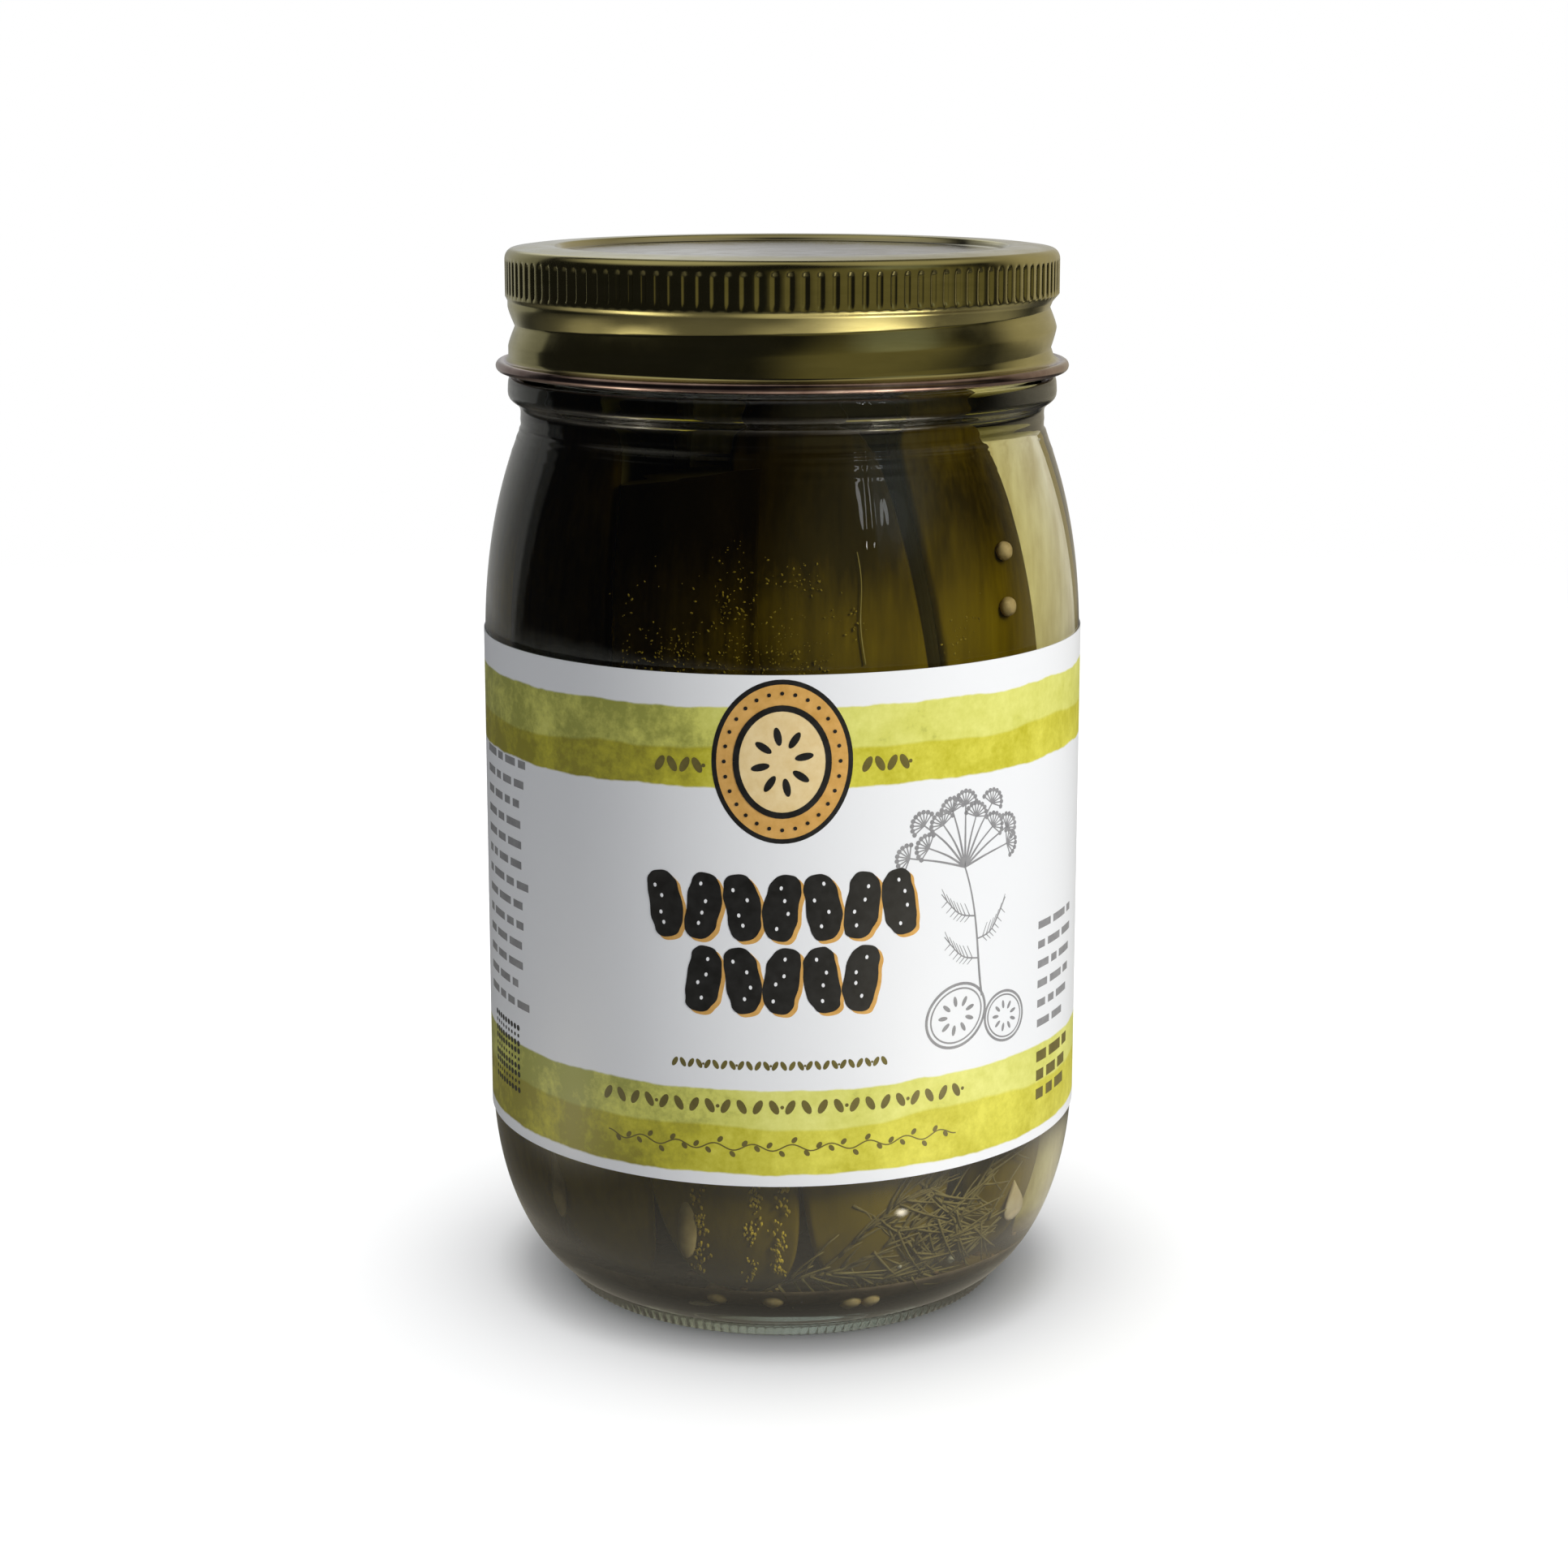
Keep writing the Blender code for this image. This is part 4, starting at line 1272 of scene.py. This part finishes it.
def inner_mesh(x, y, bottom, top, turn, seed):
    rows = np.linspace(0.0, 1.0, INNER_ROWS)
    share = (0.5 - 0.5 * np.cos(math.pi * rows))[:, None]
    z = bottom + (top - bottom) * share
    girth = np.maximum(np.clip(1 - np.abs(2 * share - 1) ** 20, 0.0, 1.0) ** 0.5, 0.02)
    turned = np.linspace(-math.pi, math.pi, INNER_SIDES, endpoint=False)[None, :]
    across, outward, is_flat = spear_section(turned)
    knobs = 1 + 0.02 * ripple(turned, z / (6 * MM), seed, 10, 2.0, 6.0)
    side = INNER_HALF_WIDTH * girth * across * knobs
    out = INNER_HALF_DEPTH * girth * outward * knobs
    px = x + side * math.cos(turn) - out * math.sin(turn)
    py = y + side * math.sin(turn) + out * math.cos(turn)
    points = np.stack([px, py, np.broadcast_to(z, px.shape)], axis=-1)
    faces = sheet_faces(INNER_ROWS, INNER_SIDES, True)
    flesh = np.broadcast_to(is_flat, px.shape)[:-1].reshape(-1).tolist()
    faces.append(tuple(range((INNER_ROWS - 1) * INNER_SIDES, INNER_ROWS * INNER_SIDES)))
    faces.append(tuple(range(INNER_SIDES))[::-1])
    return points.reshape(-1, 3), faces, flesh + [True, False]


def build_pickles():
    points, faces, flesh, tones, total = [], [], [], [], 0

    def add(made, low_tone, high_tone):
        nonlocal total, faces, flesh
        some_points, some_faces, some_flesh = made
        points.append(some_points)
        faces += [tuple(total + corner for corner in face) for face in some_faces]
        flesh += some_flesh
        heights = some_points[:, 2]
        # Each piece is darker or paler by height, partly its own colour and partly painted shade; low down
        # the tone is raised as painted light
        tone = low_tone + (high_tone - low_tone) * smooth(*TONE_CHANGE, heights)
        tones.append(tone + np.maximum(FOOT_TONE - tone, 0.0) * smooth(*FOOT_TONE_CHANGE, heights))
        total += len(some_points)

    for index, row in enumerate(all_spears()):
        azimuths, half_width, half_depth, bottom, top, twist, slope, low_tone, high_tone, gap = row
        spec = (azimuths, half_width * MM, half_depth * MM, bottom * MM, top * MM, twist, slope, gap * MM)
        add(spear_mesh(spec, 40 + index), low_tone, high_tone)
    for index, row in enumerate(inner_spears()):
        add(inner_mesh(*row, 70 + index), INNER_TONE, INNER_FIRST_TOP_TONE if index == 1 else INNER_TONE)
    mesh = mesh_from("gherkin_spears", np.concatenate(points), faces)
    mesh.polygons.foreach_set("material_index", np.array(flesh, dtype=np.int32))
    mesh.attributes.new("tone", "FLOAT", "POINT").data.foreach_set("value", np.concatenate(tones))
    fix_normals(mesh)
    piece = link("gherkin_spears", mesh, skin_look(), flesh_look())
    piece.data.set_sharp_from_angle(angle=math.radians(50))
    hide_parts("pickles")


def build_flecks():
    """Golden flecks on the skins that face the front, and rows of pale warts low down."""
    draw = random.Random(23)
    places = []
    clusters = []
    for _ in range(FLECK_CLUSTERS):
        clusters.append((draw.uniform(*FLECK_AZIMUTHS), draw.triangular(*FLECK_HEIGHTS)))
    for azimuth, z in clusters + FLECK_EXTRAS:
        for _ in range(draw.randint(3, 14)):
            size = draw.choice((0.08, 0.1, 0.14, 0.22))
            place = (azimuth + draw.gauss(0, 2.0), z + draw.gauss(0, 1.4))
            places.append((*place, size, draw.uniform(0.0, math.pi)))
    look = mottled_look("fleck_gold", (0.13, 0.09, 0.008), (0.42, 0.3, 0.03), 700.0, 0.35)
    specks_on_skin("golden_flecks", places, look, draw)
    places = []
    for row_azimuth in WART_AZIMUTHS:
        for _ in range(WART_CLUSTERS):
            z = draw.uniform(9.5, 27.0)
            azimuth = row_azimuth + draw.gauss(0.0, 0.7) + (z - 16.0) * 0.1
            for _ in range(draw.randint(1, 4)):
                size = draw.uniform(0.18, 0.4)
                place = (azimuth + draw.gauss(0, 0.5), z + draw.gauss(0, 0.3))
                places.append((*place, size, draw.uniform(1.0, 2.1)))
    look = mottled_look("wart_gold", (0.36, 0.25, 0.01), (0.95, 0.68, 0.06), 700.0, 0.35)
    specks_on_skin("golden_warts", places, look, draw)


def specks_on_skin(name, places, look, draw):
    """Small flat grains on the skins behind the glass. Each place is azimuth, height, size and spin."""
    bm = bmesh.new()
    for azimuth, z, size, spin in places:
        turn = math.radians(azimuth)
        outward = at_azimuth(turn, 1.0, 0.0)
        sideways = at_azimuth(turn + math.pi / 2, 1.0, 0.0)
        middle = against_glass(turn, z * MM, SPEAR_CLEARANCE + draw.uniform(-0.1, 0.1) * MM)
        made = bmesh.ops.create_icosphere(bm, subdivisions=1, radius=1.0)
        for vert in made["verts"]:
            side, up = rotated((0.0, 0.0), vert.co.x * size * MM, vert.co.z * size * 0.55 * MM, spin)
            vert.co = middle + sideways * side + Vector((0, 0, up)) + outward * vert.co.y * 0.12 * MM
    link(name, mesh_of(name, bm), look)


def build_skin_thread():
    """A fine pale thread down the skin of the middle spear."""
    line = []
    for step in range(25):
        share = step / 24
        azimuth = math.radians(THREAD_LINE_AZIMUTH + 0.35 * math.sin(7 * share) + 0.8 * share)
        height = THREAD_LINE_HEIGHTS[0] + (THREAD_LINE_HEIGHTS[1] - THREAD_LINE_HEIGHTS[0]) * share
        line.append(against_glass(azimuth, height, SPEAR_CLEARANCE))
    points, faces = tapered_tube(line, 0.06 * MM, 0.12 * MM)
    mesh = mesh_from("skin_thread", np.array([tuple(p) for p in points]), faces)
    fix_normals(mesh)
    link("skin_thread", mesh, mottled_look("thread_pale", (0.2, 0.15, 0.03), (0.4, 0.32, 0.1), 400.0, 0.4))


# Seeds, dill and garlic


def balls(name, places, material, seed):
    """Slightly uneven balls, joined as one piece. Each place is (centre, radius)."""
    draw = random.Random(seed)
    bm = bmesh.new()
    for centre, radius in places:
        made = bmesh.ops.create_icosphere(bm, subdivisions=3, radius=radius)
        squeeze = Vector((draw.uniform(0.92, 1.05), draw.uniform(0.92, 1.05), draw.uniform(0.88, 1.0)))
        for vert in made["verts"]:
            wobble = 1 + 0.02 * math.sin(5 * vert.co.x / radius + 4 * vert.co.z / radius)
            vert.co = Vector(centre) + Vector(a * b for a, b in zip(vert.co, squeeze)) * wobble
    link(name, mesh_of(name, bm), material)


def in_front(across, height, back):
    """The point that far behind the inside of the glass in front, from its place in millimetres."""
    out = float(inner_radius(height * MM)) - back
    return (across * MM, -math.sqrt(out**2 - (across * MM) ** 2), height * MM)


def build_seeds():
    draw = random.Random(17)
    places = []
    for azimuth, height in WALL_SEEDS:
        out = float(inner_radius(height * MM)) - SEED_RADIUS - 0.05 * MM
        places.append((at_azimuth(math.radians(azimuth), out, height * MM), SEED_RADIUS))
    for _ in range(FLOOR_SEED_COUNT):
        radius = SEED_RADIUS * draw.uniform(0.75, 1.1)
        out = draw.uniform(16.0, 25.5) * MM
        azimuth = draw.uniform(0.6, 2 * math.pi - 1.4)
        places.append((at_azimuth(azimuth, out, bed_height(out + radius * 0.5) + radius), radius))
    look = mottled_look("seed_coat", (0.42, 0.29, 0.11), (0.62, 0.46, 0.22), 900.0, 0.4)
    balls("coriander_seeds", places, look, 18)
    places = []
    for across, height in FRONT_SEEDS:
        places.append((in_front(across, height, FRONT_SEED_RADIUS), FRONT_SEED_RADIUS))
    # The seeds low in front get a paler copy of the seed coat: painted light where they lie in shade
    look = mottled_look("seed_coat_painted_light", (0.72, 0.5, 0.2), (0.95, 0.74, 0.4), 900.0, 0.4)
    balls("front_seeds", places, look, 20)
    places = []
    for across, height, radius in PALE_BITS:
        places.append((in_front(across, height, 2 * radius * MM), radius * MM))
    look = mottled_look("onion_bit", (0.5, 0.46, 0.36), (0.7, 0.66, 0.56), 600.0, 0.4)
    balls("pale_bits", places, look, 19)


def bed_height(out):
    """The height of the inside of the glass that far from the axis, low in the jar."""
    if out < FLOOR_RADIUS:
        return floor_height(out)
    reach = (out - FLOOR_RADIUS) / (BODY_RADIUS - WALL - FLOOR_RADIUS)
    return HEEL_TOP - (HEEL_TOP - FLOOR_HEIGHT) * math.sqrt(max(0.0, 1 - reach**2))


def build_spice():
    """Fine dark bits of spice and dill seed that lie on the floor of the jar."""
    draw = random.Random(29)
    bm = bmesh.new()
    for _ in range(SPICE_BIT_COUNT):
        out = math.sqrt(draw.uniform(SPICE_REACH[0] ** 2, SPICE_REACH[1] ** 2)) * MM
        azimuth = draw.uniform(-math.pi, math.pi)
        size = draw.uniform(0.2, 0.6) * MM
        middle = at_azimuth(azimuth, out - 0.3 * MM, bed_height(out) + size * draw.uniform(0.5, 2.2))
        spin = draw.uniform(0, math.pi)
        made = bmesh.ops.create_icosphere(bm, subdivisions=1, radius=1.0)
        for vert in made["verts"]:
            x, y, z = vert.co * size
            vert.co = middle + Vector((*rotated((0.0, 0.0), x * 1.5, y, spin), z * 0.6))
    look = mottled_look("spice", (0.09, 0.05, 0.025), (0.3, 0.18, 0.08), 300.0, 0.5)
    link("spice_bits", mesh_of("spice_bits", bm), look)


def build_sediment():
    """The uneven brown dregs that cover the floor of the jar and thin out up its heel."""
    outs = np.linspace(0.6, SEDIMENT_OUT, 44) * MM
    angles = (2 * math.pi * np.arange(SEDIMENT_SIDES) / SEDIMENT_SIDES)[None, :]
    beds = np.array([bed_height(out) for out in outs])[:, None]
    waves = ripple(angles, outs[:, None] / (2.5 * MM), 63, 16, 2.0, 12.0)
    thinning = smooth(SEDIMENT_OUT * MM, 24.0 * MM, outs)[:, None]
    depth = (SEDIMENT_DEPTH + 0.3 * waves) * MM * thinning + SEDIMENT_LEAST
    radii = np.repeat(outs[:, None] - 0.12 * MM, SEDIMENT_SIDES, axis=1)
    tops = beds + np.maximum(depth, SEDIMENT_LEAST)
    unders = np.repeat(beds + 0.03 * MM, SEDIMENT_SIDES, axis=1)
    radii = np.concatenate([radii, radii[::-1]])
    mesh = turned_mesh("dregs", radii, np.concatenate([tops, unders[::-1]]), SEDIMENT_SIDES)
    look = mottled_look("dregs_brown", (0.16, 0.11, 0.075), (0.6, 0.43, 0.28), 160.0, 0.6)
    link("dregs", mesh, look)


def tapered_tube(points, radius, end_radius, sides=5):
    """Points and faces of a thin closed tube along a line."""
    rings, faces = [], []
    for index, point in enumerate(points):
        before = Vector(points[max(index - 1, 0)])
        after = Vector(points[min(index + 1, len(points) - 1)])
        ahead = (after - before).normalized()
        side = ahead.cross(Vector((0.31, 0.2, 0.93))).normalized()
        other = ahead.cross(side)
        size = radius + (end_radius - radius) * index / (len(points) - 1)
        for step in range(sides):
            angle = 2 * math.pi * step / sides
            rings.append(Vector(point) + (side * math.cos(angle) + other * math.sin(angle)) * size)
    faces += sheet_faces(len(points), sides, True)
    faces.append(tuple(range(sides))[::-1])
    faces.append(tuple(range((len(points) - 1) * sides, len(points) * sides)))
    return rings, faces


def against_glass(azimuth, z, depth):
    """A point that far behind the inside of the glass."""
    height = max(z, FLOOR_HEIGHT + 0.6 * MM)
    return at_azimuth(azimuth, float(inner_radius(height)) - depth, height)


def stem_place(stem, share):
    """The azimuth and height of a dill stem at a share of its length."""
    first, low, last, high = stem
    z = (low + (high - low) * share + DILL_STEM_WAVE * math.sin(3.0 * share)) * MM
    return math.radians(first + (last - first) * share), z


def dill_needle(azimuth, z, draw):
    """The line of one bent needle that leaves its stem to the right."""
    lean = draw.uniform(-1.25, 1.25)
    length = draw.uniform(4.5, 9.5) * MM
    depth = draw.uniform(0.3, 0.8) * MM
    line = []
    for part in range(DILL_NEEDLE_PARTS + 1):
        along = length * part / DILL_NEEDLE_PARTS
        bend = lean * (1 - 0.25 * part / DILL_NEEDLE_PARTS)
        further = along * math.cos(bend) / BODY_RADIUS
        line.append(against_glass(azimuth + further, z + along * math.sin(bend), depth))
    return line


def build_dill():
    """Feathery sprigs that lie between the pickles and the glass, low on the right, and one behind."""
    draw = random.Random(DILL_SEED)
    points, faces = [], []

    def add(line, radius, end_radius):
        some_points, some_faces = tapered_tube(line, radius, end_radius)
        faces.extend(tuple(len(points) + corner for corner in face) for face in some_faces)
        points.extend(some_points)

    for stem in DILL_STEMS:
        places = [stem_place(stem, step / DILL_STEM_PARTS) for step in range(DILL_STEM_PARTS + 1)]
        add([against_glass(azimuth, z, 0.75 * MM) for azimuth, z in places], 0.26 * MM, 0.14 * MM)
        for azimuth, z in places[2:]:
            for _ in range(2):
                add(dill_needle(azimuth, z, draw), 0.21 * MM, 0.09 * MM)
    mesh = mesh_from("dill", np.array([tuple(p) for p in points]), faces)
    fix_normals(mesh)
    look = mottled_look("dill_frond", (0.2, 0.15, 0.045), (0.34, 0.27, 0.1), 500.0, 0.45)
    link("dill", mesh, look)


def build_slivers():
    """Pale slivers of garlic against the glass, and two cut edges of gherkin low down."""
    garlic = mottled_look("garlic_flesh", (0.62, 0.47, 0.27), (0.8, 0.68, 0.46), 300.0, 0.4)
    slivers("garlic", GARLIC, garlic)
    edge = mottled_look("gherkin_edge", (0.26, 0.19, 0.07), (0.42, 0.32, 0.13), 300.0, 0.4)
    slivers("gherkin_edges", CUT_EDGES, edge)


def slivers(name, places, look):
    """Flat drop-shaped pieces that lean on the glass."""
    bm = bmesh.new()
    for azimuth, z, width, height, tilt in places:
        made = bmesh.ops.create_icosphere(bm, subdivisions=3, radius=1.0)
        turn = math.radians(azimuth)
        middle = against_glass(turn, z * MM, 1.1 * MM)
        outward = at_azimuth(turn, 1.0, 0.0)
        sideways = at_azimuth(turn + math.pi / 2, 1.0, 0.0)
        for vert in made["verts"]:
            narrow = 0.62 - 0.55 * vert.co.z
            side, up = rotated((0.0, 0.0), vert.co.x * width * MM * narrow, vert.co.z * height * MM, tilt)
            vert.co = middle + sideways * side + outward * vert.co.y * 0.7 * MM + Vector((0, 0, up))
    link(name, mesh_of(name, bm), look)


# Stage, lights and camera


def floor_look():
    """White to the camera, painted shadow where the jar's glass shows it, and a painted glow of soft light
    patches that only reflections see.
    """
    look = Look("pale_floor")
    look.set(Roughness=0.9, Specular_IOR_Level=0.0)
    path = look.node("ShaderNodeLightPath")
    far = look.distance((0.0, 0.0, 0.0))
    # A glow that only reflections see: painted light
    gloss = look.span(far, *FLOOR_GLOSS)
    for x, y, reach, gain in FLOOR_PATCHES:
        gloss = look.sum("ADD", gloss, look.span(look.distance((x, y, 0.0)), reach, 0.0, 0.0, gain))
    through = path.outputs["Is Transmission Ray"]
    mirrored = look.sum("MULTIPLY", path.outputs["Is Glossy Ray"], look.sum("SUBTRACT", 1.0, through))
    # The reflections near the foot are dimmed: painted shadow
    gloss = look.sum("MULTIPLY", gloss, look.span(far, *FOOT_GLOSS))
    look.feed("Emission Strength", look.sum("MULTIPLY", mirrored, gloss))
    look.set(Emission_Color=(1.0, 0.92, 0.74, 1.0))
    shaded = look.mix(look.span(far, *FLOOR_SHADOW), (0.06, 0.06, 0.056), (0.5, 0.49, 0.46))
    seen = look.mix(path.outputs["Is Camera Ray"], (0.56, 0.56, 0.56), (0.86, 0.86, 0.86))
    look.feed("Base Color", look.mix(mirrored, look.mix(through, seen, shaded), (0.02, 0.02, 0.02)))
    look.feed("Alpha", look.span(far, FLOOR_DISC * 0.98, FLOOR_DISC * 0.6))
    return look.material


def build_floor():
    """A pale round floor that fades out into the white of the backdrop."""
    bm = bmesh.new()
    bmesh.ops.create_circle(bm, cap_ends=True, segments=64, radius=FLOOR_DISC)
    mesh = mesh_of("floor", bm)
    mesh.materials.append(floor_look())
    floor = bpy.data.objects.new("floor", mesh)
    floor.location.z = -FLOOR_DROP
    bpy.context.scene.collection.objects.link(floor)
    return floor


def direction(azimuth, elevation, distance=1.0):
    rise = math.radians(elevation)
    return at_azimuth(math.radians(azimuth), distance * math.cos(rise), distance * math.sin(rise))


def add_light(name, azimuth, elevation, distance, size, power, colour=(1.0, 1.0, 1.0), shape="RECTANGLE"):
    """A soft box that faces the middle of the jar."""
    data = bpy.data.lights.new(name, "AREA")
    data.shape = shape
    data.size, data.size_y = size
    data.energy = power
    data.color = colour
    light = bpy.data.objects.new(name, data)
    light.location = LIGHT_AIM + direction(azimuth, elevation, distance)
    light.rotation_euler = (LIGHT_AIM - light.location).to_track_quat("-Z", "Y").to_euler()
    bpy.context.scene.collection.objects.link(light)
    return light


def build_world():
    """A white backdrop to the camera, a soft fill for matt surfaces, and a dim patchy room for the rest."""
    world = bpy.data.worlds.new("studio")
    world.use_nodes = True
    world.cycles.sampling_method = "NONE"
    bpy.context.scene.world = world
    room = Nodes(world.node_tree)
    toward = room.node("ShaderNodeTexCoord").outputs["Generated"]
    total = ROOM_DIM
    for azimuth, elevation, inner, outer, colour in ROOM_PATCHES:
        ends = {0: toward, 1: direction(azimuth, elevation)}
        facing = room.node("ShaderNodeVectorMath", ends, operation="DOT_PRODUCT").outputs["Value"]
        fade = room.span(facing, math.cos(math.radians(outer)), math.cos(math.radians(inner)))
        total = room.mix(fade, total, colour, "ADD")
    path = room.node("ShaderNodeLightPath")
    total = room.mix(path.outputs["Is Diffuse Ray"], total, FILL)
    total = room.mix(path.outputs["Is Camera Ray"], total, (1.0, 1.0, 1.0))
    room.tree.links.new(total, room.tree.nodes["Background"].inputs["Color"])


def only(piece):
    """A collection that holds one piece, for the lights that are meant for it or kept from it."""
    group = bpy.data.collections.new(f"only_{piece.name}")
    group.objects.link(piece)
    return group


def keep_unseen(light):
    """Leaves the light out of reflections and of what shows through glass."""
    light.visible_glossy = False
    light.visible_transmission = False


def build_lights(floor):
    key = add_light("key_right", *KEY_LIGHT, KEY_POWER, KEY_COLOUR)
    keep_unseen(key)
    not_floor = only(floor)
    not_floor.collection_objects[0].light_linking.link_state = "EXCLUDE"
    key.light_linking.receiver_collection = not_floor
    only_floor = only(floor)
    for height, size, power in FLOOR_LIGHTS:
        overhead = add_light(f"floor_light_{size}", 0.0, 90.0, height, (size, size), power)
        keep_unseen(overhead)
        overhead.light_linking.receiver_collection = only_floor


def build_glass_windows(glass):
    only_glass = only(glass)
    for index, window in enumerate(GLASS_WINDOWS):
        light = add_light(f"window_{index}", *window, shape="ELLIPSE")
        light.visible_transmission = False
        light.light_linking.receiver_collection = only_glass


def build_camera():
    data = bpy.data.cameras.new("camera")
    data.sensor_width = SENSOR
    data.lens = PHOTO_FOCAL * SENSOR / PHOTO_SIDE
    data.shift_x = (PHOTO_SIDE / 2 - PHOTO_CENTRE_X) / PHOTO_SIDE
    data.shift_y = (PHOTO_CENTRE_Y - PHOTO_SIDE / 2) / PHOTO_SIDE
    camera = bpy.data.objects.new("camera", data)
    camera.location = (0.0, -CAMERA_DISTANCE, CAMERA_HEIGHT)
    camera.rotation_euler = (math.radians(90.0 - CAMERA_PITCH), 0.0, 0.0)
    bpy.context.scene.collection.objects.link(camera)
    bpy.context.scene.camera = camera


build_camera()
build_world()
build_lights(build_floor())
build_glass_windows(build_glass())
build_brine()
build_lid()
build_label()
build_print()
build_pickles()
build_seeds()
build_spice()
build_sediment()
build_dill()
build_slivers()
build_flecks()
build_skin_thread()
bpy.context.scene.view_settings.view_transform = "Standard"
